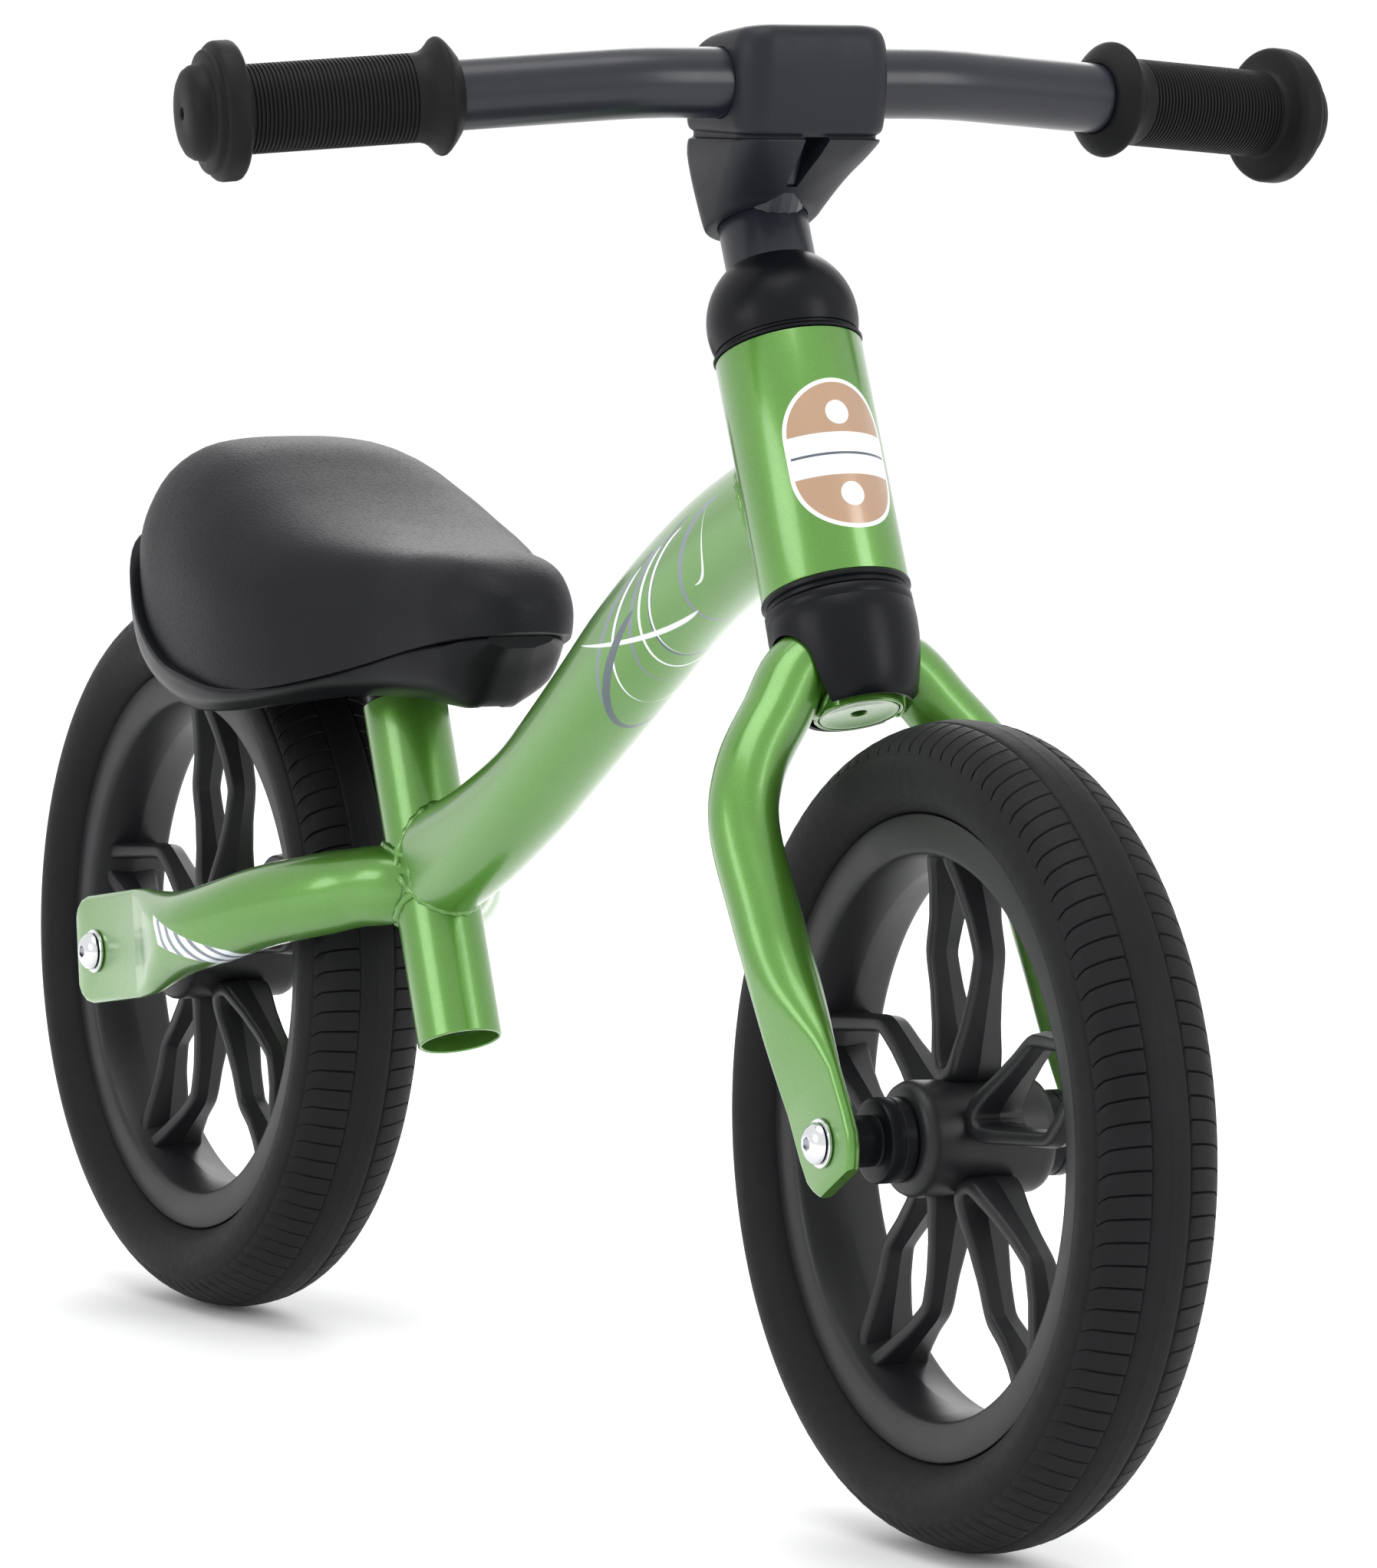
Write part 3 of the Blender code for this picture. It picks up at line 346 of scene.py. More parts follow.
badge = badge_green.mixed(inside_rim, PALE, badge)
badge_green.feed("Base Color", badge_green.mixed(inside_badge, under_badge, badge))
badge_green.feed("Metallic", 0.55 - inside_badge * 0.45)

head_tube = turned(
    "head_tube_shell",
    [
        (HEAD_BORE, 0.5), (HEAD_BORE + 0.4, 0.0), (HEAD_RADIUS - 0.5, 0.0),
        (HEAD_RADIUS - 0.12, 0.15), (HEAD_RADIUS, 0.6), (HEAD_RADIUS, HEAD_LENGTH - 0.6),
        (HEAD_RADIUS - 0.12, HEAD_LENGTH - 0.15), (HEAD_RADIUS - 0.5, HEAD_LENGTH),
        (HEAD_BORE + 0.4, HEAD_LENGTH), (HEAD_BORE, HEAD_LENGTH - 0.5),
    ],
    96, STEER,
)
fitted(head_tube, badge_green, "frame_body", "frame_paint", "head_tube")


# ---- main tube ----
# One large steel tube, bent in a long S and ovalled where it meets the seat tube, mitred and
# welded at both ends.  Curved streaks of transfer cross both its sides.
SEAT_TUBE_BOTTOM = Vector((-82.6, 0.0, 115.1))
SEAT_TUBE_TOP = Vector((-130.3, 0.0, 225.7))
SEAT_TUBE_LENGTH = (SEAT_TUBE_TOP - SEAT_TUBE_BOTTOM).length
SEAT_TUBE_RADIUS = 14.3
SEAT_LEAN = math.atan2(
    SEAT_TUBE_TOP.x - SEAT_TUBE_BOTTOM.x, SEAT_TUBE_TOP.z - SEAT_TUBE_BOTTOM.z
)
SEAT = Matrix.Translation(SEAT_TUBE_TOP * MM) @ Matrix.Rotation(SEAT_LEAN, 4, "Y")
UP = Vector((0.0, 0.0, 1.0))
FORWARD = Vector((1.0, 0.0, 0.0))
MAIN_TUBE = (
    (164.0, 0.0, 318.0, 38.0, 38.0), (116.0, 0.0, 298.7, 38.0, 38.0),
    (78.5, 0.0, 279.4, 37.0, 37.0), (48.0, 0.0, 259.4, 37.0, 36.0),
    (19.0, 0.0, 238.9, 35.0, 34.5), (-14.0, 0.0, 216.2, 33.0, 33.0),
    (-34.0, 0.0, 203.6, 33.5, 32.0), (-63.0, 0.0, 188.6, 36.0, 30.0),
    (-85.0, 0.0, 179.0, 38.0, 28.2), (-104.5, 0.0, 171.5, 38.0, 27.4),
)


def smoothed(stations, steps):
    """More stations on a smooth curve through the given ones."""
    line = []
    last = len(stations) - 1
    for index in range(last):
        near = [stations[max(index - 1, 0)], stations[index], stations[index + 1]]
        near.append(stations[min(index + 2, last)])
        for step in range(steps):
            t = step / steps
            line.append(
                tuple(
                    0.5 * (2 * b + (c - a) * t + (2 * a - 5 * b + 4 * c - d) * t * t
                           + (3 * b - a - 3 * c + d) * t * t * t)
                    for a, b, c, d in zip(*near)
                )
            )
    line.append(tuple(stations[last]))
    return line


def rounded(tall, wide, corner, count):
    """Rounded rectangle of count points; a full corner makes it a circle."""
    each = count // 4
    points = []
    for quarter in range(4):
        for index in range(each):
            angle = math.radians(90) * (quarter + (index + 0.5) / each)
            u = (1, -1, -1, 1)[quarter] * (tall / 2 - corner) + corner * math.cos(angle)
            v = (1, 1, -1, -1)[quarter] * (wide / 2 - corner) + corner * math.sin(angle)
            points.append((u, v))
    return points


def tube_sections(stations, reference, count):
    """Sections round a path of (x, y, z, tall, wide); tall lies along the reference."""
    sections = []
    last = len(stations) - 1
    for index, (x, y, z, tall, wide) in enumerate(stations):
        before = Vector(stations[max(index - 1, 0)][:3])
        after = Vector(stations[min(index + 1, last)][:3])
        ahead = (after - before).normalized()
        side = ahead.cross(reference).normalized()
        rise = side.cross(ahead)
        shape = rounded(tall, wide, min(tall, wide) / 2, count)
        sections.append([Vector((x, y, z)) + rise * u + side * v for u, v in shape])
    return sections


def skinned(name, sections, place=None, endless=False, ends=True):
    """Ring laid on the first section and extruded on to each of the others in turn."""
    bpy.ops.object.select_all(action="DESELECT")
    count = len(sections[0])
    bpy.ops.mesh.primitive_circle_add(
        vertices=count, radius=MM, fill_type="NGON" if ends and not endless else "NOTHING"
    )
    piece = bpy.context.object
    piece.name = name
    bpy.ops.object.mode_set(mode="EDIT")
    shape = bmesh.from_edit_mesh(piece.data)
    shape.verts.ensure_lookup_table()
    ring = list(range(count))
    for index, point in zip(ring, sections[0]):
        shape.verts[index].co = point * MM
    for section in sections[1:] + ([sections[0]] if endless else []):
        bpy.ops.mesh.extrude_region()
        shape = bmesh.from_edit_mesh(piece.data)
        shape.verts.ensure_lookup_table()
        fresh = []
        for index, point in zip(ring, section):
            for edge in shape.verts[index].link_edges:
                other = edge.other_vert(shape.verts[index])
                if other.select:
                    other.co = point * MM
                    fresh.append(other.index)
                    break
        ring = fresh
    bmesh.update_edit_mesh(piece.data)
    bpy.ops.mesh.select_all(action="SELECT")
    if endless:
        bpy.ops.mesh.remove_doubles(threshold=1e-7)
    bpy.ops.mesh.normals_make_consistent(inside=False)
    bpy.ops.object.mode_set(mode="OBJECT")
    settled(piece, place)
    return piece


def shaped_by(piece, tool, operation="DIFFERENCE"):
    """Cut a piece with a tool, or join the tool to it; the tool is used up."""
    step = piece.modifiers.new("shaping", "BOOLEAN")
    step.operation = operation
    step.solver = "EXACT"
    step.object = tool
    alone(piece)
    bpy.ops.object.modifier_apply(modifier=step.name)
    bpy.data.objects.remove(tool)


def round_bar(name, radius, low, high, place, sides=64):
    return turned(name, [(radius, low), (radius, high)], sides, place, hollow=False)


def bead(name, points, radius, finish, body):
    """Weld bead: a closed run of overlapping puddles along the given points."""
    run = bpy.data.curves.new(name, "CURVE")
    run.dimensions = "3D"
    run.bevel_depth = MM
    run.bevel_resolution = 2
    spline = run.splines.new("POLY")
    spline.points.add(len(points) - 1)
    spline.use_cyclic_u = True
    for index, point in enumerate(points):
        spline.points[index].co = (*(point * MM), 1.0)
        spline.points[index].radius = radius * (1.0 + 0.16 * math.sin(index * math.pi / 2))
    piece = bpy.data.objects.new(name, run)
    bpy.context.scene.collection.objects.link(piece)
    alone(piece)
    bpy.ops.object.convert(target="MESH")
    fitted(bpy.context.object, finish, body, "frame_paint", sharp=60.0)


def meeting_line(start, end, tall, wide, reference, place, radius, count):
    """Points where a tube running from start to end meets a round tube standing at place."""
    ahead = (end - start).normalized()
    side = ahead.cross(reference).normalized()
    rise = side.cross(ahead)
    inverse = place.inverted()
    points = []
    for index in range(count):
        turn = 2 * math.pi * index / count
        point = start + rise * (math.cos(turn) * tall / 2) + side * (math.sin(turn) * wide / 2)
        near = inverse @ (point * MM) / MM
        run = inverse.to_3x3() @ ahead
        a = run.x * run.x + run.y * run.y
        b = near.x * run.x + near.y * run.y
        c = near.x * near.x + near.y * near.y - radius * radius
        reach = (-b - math.sqrt(max(b * b - a * c, 0.0))) / a
        points.append(point + ahead * reach)
    return points


STREAK_ALONG = Vector((-0.878, 0.0, -0.478))
STREAK_UP = Vector((-0.478, 0.0, 0.878))
STREAK_START = Vector((164.0, 0.0, 314.0))
INK = (0.030, 0.060, 0.075)
SLATE = (0.12, 0.16, 0.19)
# each streak: where it starts and ends along the tube, how high, its bow, width and colour
STREAKS = (
    (26.0, 78.0, 14.0, -13.0, 9.0, 3.0, SLATE), (34.0, 60.0, 15.0, -2.0, -6.0, 1.2, PALE),
    (46.0, 104.0, 17.0, -12.0, 8.0, 2.4, INK), (52.0, 100.0, 15.0, -9.0, 7.0, 1.6, PALE),
    (60.0, 118.0, 17.0, -11.0, 8.0, 2.6, SLATE), (68.0, 112.0, 16.0, -14.0, 6.0, 1.8, PALE),
    (74.0, 128.0, 17.0, -8.0, 7.0, 2.4, INK), (84.0, 132.0, 16.0, -12.0, 6.0, 1.8, PALE),
    (92.0, 142.0, 16.0, -9.0, 5.0, 2.6, SLATE), (16.0, 50.0, -4.0, -15.0, -4.0, 2.2, SLATE),
    (70.0, 138.0, -6.0, 12.0, -4.0, 1.8, PALE), (96.0, 150.0, 6.0, -14.0, 3.0, 3.2, INK),
)
streak_green, streaked = green_finish("green_paint_with_streaks")
east, north, high = streak_green.axes()
run = (east - STREAK_START.x) * STREAK_ALONG.x + (high - STREAK_START.z) * STREAK_ALONG.z
rise = (east - STREAK_START.x) * STREAK_UP.x + (high - STREAK_START.z) * STREAK_UP.z
marked = None
for first, last, start_rise, end_rise, bow, width, colour in STREAKS:
    share = (run - first) / (last - first)
    middle = start_rise + share * (end_rise - start_rise) + share * (1.0 - share) * (4.0 * bow)
    taper = (share * (1.0 - share)).greatest(0.0).worked("SQRT")
    edge = taper * width - abs(rise - middle)
    mask = edge.rising(0.0, 0.35) * share.rising(0.0, 0.02) * share.rising(1.0, 0.98)
    streaked = streak_green.mixed(mask, streaked, colour)
    marked = mask if marked is None else marked.greatest(mask)
strip = abs(rise + 15.0 - (run - 70.0) * (run - 70.0) * 0.0009).rising(2.1, 1.8)
strip = strip * run.rising(24.0, 25.0) * run.rising(122.0, 121.0)
streaked = streak_green.mixed(strip, streaked, PALE)
streak_green.feed("Base Color", streaked)
streak_green.feed("Metallic", 0.55 - marked.greatest(strip) * 0.4)

main_tube = skinned(
    "main_tube_shell", tube_sections(smoothed(MAIN_TUBE, 6), UP, 64)
)
shaped_by(main_tube, round_bar("head_mitre", HEAD_RADIUS + 0.1, -60.0, 140.0, STEER))
shaped_by(
    main_tube,
    round_bar("seat_mitre", SEAT_TUBE_RADIUS + 0.1, -SEAT_TUBE_LENGTH - 30.0, 30.0, SEAT),
)
fitted(main_tube, streak_green, "frame_body", "frame_paint", "main_tube")
bead(
    "weld_main_to_head",
    meeting_line(Vector((116.0, 0.0, 298.7)), Vector((164.0, 0.0, 318.0)), 38.4, 38.4, UP,
                 STEER, HEAD_RADIUS, 120),
    1.5, plain_green, "frame_body",
)
bead(
    "weld_main_to_seat",
    meeting_line(Vector((-63.0, 0.0, 188.2)), Vector((-104.5, 0.0, 171.5)), 38.2, 28.2, UP,
                 SEAT, SEAT_TUBE_RADIUS, 96),
    1.6, plain_green, "frame_body",
)


# ---- seat tube ----
# Short steel tube, open at its foot and cut square at its mouth.  Two bosses welded behind
# the mouth hold the button-headed bolts that clamp the post.
SEAT_BORE = 13.0
BOSS_TOP = 18.4
BOSS_RADIUS = 7.0
SEAT_BOLT_LEVELS = (("upper", 14.0), ("lower", 32.0))
seat_tube = turned(
    "seat_tube_shell",
    [
        (SEAT_BORE, 0.4 - SEAT_TUBE_LENGTH), (SEAT_BORE + 0.3, -SEAT_TUBE_LENGTH),
        (SEAT_TUBE_RADIUS - 0.4, -SEAT_TUBE_LENGTH), (SEAT_TUBE_RADIUS, 0.4 - SEAT_TUBE_LENGTH),
        (SEAT_TUBE_RADIUS, -0.5), (SEAT_TUBE_RADIUS - 0.4, 0.0), (SEAT_BORE + 0.3, 0.0),
        (SEAT_BORE, -0.4),
    ],
    80, SEAT,
)
BACKWARDS = Matrix.Rotation(math.radians(-90), 4, "Y")
for level, depth in SEAT_BOLT_LEVELS:
    spot = SEAT @ Matrix.Translation((0.0, 0.0, -depth * MM)) @ BACKWARDS
    boss = turned(
        "seat_boss_" + level,
        [(BOSS_RADIUS, 13.4), (BOSS_RADIUS, BOSS_TOP - 0.5), (BOSS_RADIUS - 0.5, BOSS_TOP)],
        48, spot, hollow=False,
    )
    shaped_by(seat_tube, boss, "UNION")
fitted(seat_tube, plain_green, "frame_body", "frame_paint", "seat_tube")


# ---- chain stays ----
# Two bent steel tubes welded behind the seat tube.  They spread round the wheel and are
# pressed flat at the back, where the axle bolt goes through.
SIDES = (("left", 1.0), ("right", -1.0))
PLATE = 4.5
REAR_AXLE = Vector((-274.0, 0.0, 127.0))
STAY = (
    (-103.5, 3.0, 167.2, 18.0, 16.0), (-113.0, 11.6, 165.6, 26.5, 23.5),
    (-126.0, 19.0, 163.3, 27.0, 26.0), (-138.0, 26.0, 160.2, 28.0, 28.0),
    (-162.0, 37.2, 153.7, 28.0, 28.0), (-186.0, 44.2, 145.6, 28.0, 27.0),
    (-204.0, 46.6, 141.0, 28.5, 24.0), (-218.0, 47.5, 137.8, 32.0, 17.0),
    (-231.0, 47.75, 135.0, 36.5, 9.0), (-241.0, 47.75, 133.2, 38.0, PLATE),
)
STAY_END = (
    (-281.0, 47.75, 126.7, 38.0, PLATE), (-285.5, 47.75, 126.0, 36.4, PLATE),
    (-288.4, 47.75, 125.5, 32.5, PLATE), (-290.0, 47.75, 125.3, 27.5, PLATE - 0.2),
    (-290.5, 47.75, 125.2, 23.0, PLATE - 1.0),
)
stay_green, under_sticker = green_finish("green_paint_with_strip")
east, north, high = stay_green.axes()
slant = high - 141.0 - (east + 200.0) * -0.22
strip_mask = abs(slant).rising(4.4, 4.0)
strip_mask = strip_mask * (east + slant * 0.7).rising(-205.0, -204.4)
strip_mask = strip_mask * (east + slant * 0.7).rising(-165.0, -165.6)
bars = (((east + slant * 0.7) / 7.0).worked("FRACT") - 0.5)
bar_mask = abs(bars).rising(0.22, 0.18) * strip_mask
sticker = stay_green.mixed(strip_mask, under_sticker, PALE)
stay_green.feed("Base Color", stay_green.mixed(bar_mask, sticker, SLATE))
stay_green.feed("Metallic", 0.55 - strip_mask * 0.4)
wheel_turn = Matrix.Rotation(math.radians(-90), 4, "X")
REAR = Matrix.Translation(REAR_AXLE * MM) @ wheel_turn
BOLT_HOLE = 3.3
for side, sign in SIDES:
    stations = smoothed(STAY, 5) + list(STAY_END)
    stations = [(x, sign * y, z, tall, wide) for x, y, z, tall, wide in stations]
    stay = skinned("stay_shell_" + side, tube_sections(stations, UP, 48))
    shaped_by(
        stay,
        round_bar("stay_mitre", SEAT_TUBE_RADIUS + 0.1, -SEAT_TUBE_LENGTH - 30.0, 30.0, SEAT),
    )
    low, high_end = sorted((sign * 40.0, sign * 56.0))
    shaped_by(stay, round_bar("stay_hole", BOLT_HOLE, low, high_end, REAR, 32))
    fitted(stay, stay_green, "frame_body", "frame_paint", "stay_" + side)
    bead(
        "weld_stay_" + side,
        meeting_line(Vector((-126.0, sign * 19.5, 163.3)), Vector((-108.0, sign * 6.5, 166.5)),
                     27.4, 24.5, UP, SEAT, SEAT_TUBE_RADIUS, 84),
        1.5, plain_green, "frame_body",
    )


# ---- fork ----
# Steel steerer with a plug welded in its foot, and two blades bent out round the wheel and
# pressed flat for the axle.  The blades are welded to the sides of the steerer.
STEERER_RADIUS = 14.3
STEERER_BORE = 13.0
STEERER_TOP = 96.0
STEERER_BOTTOM = -40.5
steerer = turned(
    "steerer_shell",
    [
        (STEERER_BORE, STEERER_BOTTOM + 0.4), (STEERER_BORE + 0.4, STEERER_BOTTOM),
        (STEERER_RADIUS - 0.5, STEERER_BOTTOM), (STEERER_RADIUS, STEERER_BOTTOM + 0.5),
        (STEERER_RADIUS, STEERER_TOP), (STEERER_BORE, STEERER_TOP),
    ],
    72, STEER,
)
fitted(steerer, plain_green, "fork_body", "frame_paint", "steerer_tube")
plug = turned(
    "crown_plug_disc",
    [
        (2.5, STEERER_BOTTOM + 8.0), (2.5, STEERER_BOTTOM + 1.0), (2.9, STEERER_BOTTOM + 0.6),
        (10.6, STEERER_BOTTOM + 0.5), (11.4, STEERER_BOTTOM + 0.1),
        (12.4, STEERER_BOTTOM + 0.1), (12.8, STEERER_BOTTOM + 0.6),
        (12.8, STEERER_BOTTOM + 8.0),
    ],
    64, STEER,
)
fitted(plug, plain_green, "fork_body", "frame_paint", "crown_plug")
BLADE = (
    (0.0, 6.0, -18.0, 21.0, 20.0), (0.0, 19.0, -26.0, 22.0, 22.0),
    (0.0, 29.0, -39.6, 22.0, 22.0), (0.0, 38.0, -51.5, 22.0, 22.0),
    (0.0, 43.2, -61.0, 22.0, 22.0), (0.0, 46.6, -71.0, 22.0, 22.0),
    (0.7, 47.9, -83.0, 22.0, 22.0), (3.6, 48.0, -103.0, 22.0, 22.0),
    (6.0, 48.0, -119.0, 22.0, 22.0), (8.0, 48.0, -132.0, 24.0, 20.0),
    (9.5, 47.9, -144.0, 28.6, 14.5), (11.0, 47.8, -155.0, 32.5, 8.6),
    (12.6, 47.75, -166.0, 34.0, PLATE),
)
BLADE_END = (
    (14.9, 47.75, -181.0, 34.5, PLATE), (16.2, 47.75, -188.6, 33.4, PLATE),
    (16.9, 47.75, -192.6, 29.5, PLATE), (17.3, 47.75, -196.0, 24.0, PLATE),
    (17.4, 47.75, -197.0, 21.5, PLATE - 0.6),
)
AXLE_IN_STEER = Vector((15.5, 0.0, -183.4))
FRONT_AXLE = STEER @ (AXLE_IN_STEER * MM) / MM
FRONT = Matrix.Translation(FRONT_AXLE * MM) @ wheel_turn
blade_tools = []
for side, sign in SIDES:
    stations = smoothed(BLADE, 5) + list(BLADE_END)
    stations = [(x, sign * y, z, tall, wide) for x, y, z, tall, wide in stations]
    blade = skinned("fork_blade_shell_" + side, tube_sections(stations, FORWARD, 48), STEER)
    shaped_by(blade, round_bar("blade_mitre", STEERER_RADIUS + 0.1, -70.0, 90.0, STEER))
    low, high_end = sorted((sign * 40.0, sign * 56.0))
    shaped_by(blade, round_bar("blade_hole", BOLT_HOLE, low, high_end, FRONT, 32))
    fitted(blade, plain_green, "fork_body", "frame_paint", "fork_blade_" + side)
    line = meeting_line(
        Vector((0.0, sign * 29.0, -37.6)), Vector((0.0, sign * 6.0, -18.0)), 22.4, 22.4,
        FORWARD, Matrix.Identity(4), STEERER_RADIUS, 72,
    )
    line = [STEER @ (point * MM) / MM for point in line]
    bead("weld_blade_" + side, line, 1.3, plain_green, "fork_body")
    mouth = [
        (x, y, z, tall + 1.9, wide + 1.9) for x, y, z, tall, wide in stations[:28]
    ]
    blade_tools.append(
        skinned("cover_mouth_" + side, tube_sections(mouth, FORWARD, 48), STEER)
    )
    below = [(0.0, sign * 20.0, -24.0, 23.6, 22.0), (0.0, sign * 21.0, -60.0, 25.0, 22.0)]
    blade_tools.append(
        skinned("cover_slot_" + side, tube_sections(below, FORWARD, 48), STEER)
    )


# ---- headset ----
# Black moulded covers over the bearings: a dome on top that closes round the stem, thin
# rings at both ends of the head tube, and a cup below with an arch for each fork blade.
black_plastic = Finish("black_plastic", (0.0042, 0.0046, 0.0062), 0.36, shine=0.14)
black_plastic.feed("Roughness", 0.30 + black_plastic.grain(9.0) * 0.10)
black_plastic.raise_surface(black_plastic.grain(0.5) * 0.6 + black_plastic.grain(4.0) * 0.4, 0.03)
bearing_steel = Finish("bearing_steel", (0.55, 0.55, 0.57), 0.3, 1.0)
bearing_steel.feed("Roughness", 0.22 + bearing_steel.grain(2.0) * 0.2)

DOME_RADIUS = 24.0
DOME_CENTRE = 91.0
DOME_WALL = 2.6
DOME_LOW = 82.4
DOME_OPENING = STEERER_RADIUS + 0.4
dome_line = []
first = math.asin((DOME_LOW + 1.4 - DOME_CENTRE) / DOME_RADIUS)
last = math.acos(DOME_OPENING / DOME_RADIUS)
dome_line += [(20.4, DOME_LOW), (21.9, DOME_LOW), (22.3, DOME_LOW + 0.5), (22.35, DOME_LOW + 1.2)]
for step in range(19):
    angle = first + (last - first) * step / 18
    dome_line.append((DOME_RADIUS * math.cos(angle), DOME_CENTRE + DOME_RADIUS * math.sin(angle)))
inner = DOME_RADIUS - DOME_WALL
last = math.acos(DOME_OPENING / inner)
for step in range(9):
    angle = last * (1 - step / 8)
    dome_line.append((inner * math.cos(angle), DOME_CENTRE + inner * math.sin(angle)))
dome = turned("headset_dome_shell", dome_line, 96, STEER)
fitted(dome, black_plastic, "fork_body", "black_plastic", "headset_dome")
ring = turned(
    "headset_ring_upper_lip",
    [(14.6, 81.0), (23.4, 81.0), (23.8, 81.3), (23.8, 81.8), (23.5, 82.1), (14.6, 82.1)],
    96, STEER,
)
fitted(ring, black_plastic, "fork_body", "black_plastic", "headset_ring_upper")
ring = turned(
    "headset_ring_lower_lip",
    [
        (14.6, -3.7), (22.2, -3.7), (22.4, -3.4), (22.4, -2.3), (23.2, -2.1), (23.7, -1.7),
        (23.7, -0.7), (23.4, -0.3), (14.6, -0.3),
    ],
    96, STEER,
)
fitted(ring, black_plastic, "fork_body", "black_plastic", "headset_ring_lower")
cover = turned(
    "crown_cover_shell",
    [
        (14.6, -4.0), (21.9, -4.0), (22.9, -4.3), (23.3, -4.9), (23.4, -7.6), (23.2, -8.0),
        (23.4, -8.4), (23.55, -13.0), (23.3, -18.0), (22.8, -22.0), (22.1, -26.5),
        (21.4, -30.0), (20.5, -33.5), (19.4, -36.5), (18.5, -38.6), (17.4, -39.5),
        (16.3, -39.3), (17.2, -35.5), (18.6, -30.0), (20.2, -21.0), (20.8, -7.0), (14.6, -7.0),
    ],
    128, STEER,
)
for tool in blade_tools:
    shaped_by(cover, tool)
fitted(cover, black_plastic, "fork_body", "black_plastic", "crown_cover")


# ---- wheels ----
# Each wheel is one nylon moulding: rim, hub and five closed spoke loops.  The moulding tool
# parts on the middle plane, so every leg is waisted and drafted to both sides of it.
wheel_nylon = Finish("wheel_nylon", (0.0075, 0.0077, 0.0090), 0.42, shine=0.35)
wheel_nylon.feed("Roughness", 0.36 + wheel_nylon.grain(14.0) * 0.12)
wheel_nylon.raise_surface(wheel_nylon.grain(0.6) * 0.7 + wheel_nylon.grain(6.0) * 0.3, 0.035)
RIM_HALF = (
    (93.0, 10.9), (96.4, 12.5), (98.2, 13.5), (98.8, 14.1), (98.7, 14.6), (98.1, 14.9),
    (93.0, 14.9), (88.6, 14.6), (87.3, 14.2), (86.6, 13.4), (86.1, 12.2), (84.9, 8.0),
    (84.0, 4.0), (83.4, 0.4),
)
HUB_HALF = (
    (8.0, 15.2), (11.3, 15.2), (11.3, 23.0), (14.3, 23.0), (15.8, 22.6), (17.0, 21.6),
    (17.8, 20.0), (18.0, 18.0), (17.7, 10.0), (17.4, 0.5),
)
LOOP_HALF = (
    (18.6, 0.0), (19.5, 2.9), (22.2, 5.0), (29.0, 7.4), (38.0, 10.2), (47.0, 12.9),
    (52.5, 14.5), (55.5, 15.0), (58.5, 14.5), (64.0, 12.6), (72.0, 9.8), (80.0, 7.0),
    (85.0, 5.2), (88.6, 3.4),
)
LOOP_DEPTHS = (
    (0.0, 9.4), (18.0, 9.2), (27.0, 8.0), (34.0, 6.6), (45.0, 5.3), (55.0, 5.0), (66.0, 5.6),
    (76.0, 7.4), (84.0, 9.4), (100.0, 10.5),
)
LOOP_ANGLES = [math.radians(-3.6 + 72.0 * number) for number in range(5)]


def both_sides(half):
    return list(half) + [(radius, -height) for radius, height in half[::-1]]


def leg_depth(radius):
    for (near, first), (far, second) in zip(LOOP_DEPTHS, LOOP_DEPTHS[1:]):
        if near <= radius <= far:
            return first + (second - first) * (radius - near) / (far - near)
    return LOOP_DEPTHS[-1][1]


def leg_section(half_width, half_depth):
    """Drafted leg: widest on the middle plane, with rounded edges and a fine parting rib."""
    edge = 1.5
    shape = [
        (half_width - 0.45, half_depth - edge), (half_width - 0.9, half_depth - 0.45),
        (half_width - edge - 0.2, half_depth), (0.0, half_depth),
    ]
    right = [(half_width + 0.16, 0.0), (half_width, 0.35)] + shape[:3]
    quarter = right + [shape[3]]
    across = [(-u, v) for u, v in quarter[-2::-1]]
    top = quarter + across
    bottom = [(u, -v) for u, v in top[-2:0:-1]]
    return top + bottom


def spoke_loop(name, angle):
    outwards = Vector((math.sin(angle), math.cos(angle) * -1.0, 0.0))
    across = Vector((math.cos(angle), math.sin(angle), 0.0))
    half = smoothed(LOOP_HALF, 3)
    line = half + [(radius, -width) for radius, width in half[-1:0:-1]]
    sections = []
    for index, (radius, width) in enumerate(line):
        before = line[index - 1]
        after = line[(index + 1) % len(line)]
        here = outwards * radius + across * width
        ahead = outwards * (after[0] - before[0]) + across * (after[1] - before[1])
        side = ahead.normalized().cross(UP)
        flare = 2.7 + 0.6 * max(0.0, (radius - 76.0) / 12.0)
        flare += 0.5 * max(0.0, (30.0 - radius) / 12.0)
        shape = leg_section(flare, leg_depth(radius))
        sections.append([here + side * u + UP * v for u, v in shape])
    return skinned(name, sections, endless=True)


def moulded_wheel(end, place, body):
    wheel = turned(end + "_wheel_moulding", both_sides(RIM_HALF), 160)
    hub = turned(end + "_hub_barrel", both_sides(HUB_HALF), 72)
    shaped_by(wheel, hub, "UNION")
    for number, angle in enumerate(LOOP_ANGLES):
        shaped_by(wheel, spoke_loop(end + "_loop_" + str(number), angle), "UNION")
    shaped_by(wheel, round_bar(end + "_bore", 8.0, -15.2, 15.2, None, 48))
    settled(wheel, place)
    fitted(wheel, wheel_nylon, body, "black_plastic", end + "_wheel", sharp=38.0)


moulded_wheel("front", FRONT, "front_wheel_body")
moulded_wheel("rear", REAR, "rear_wheel_body")


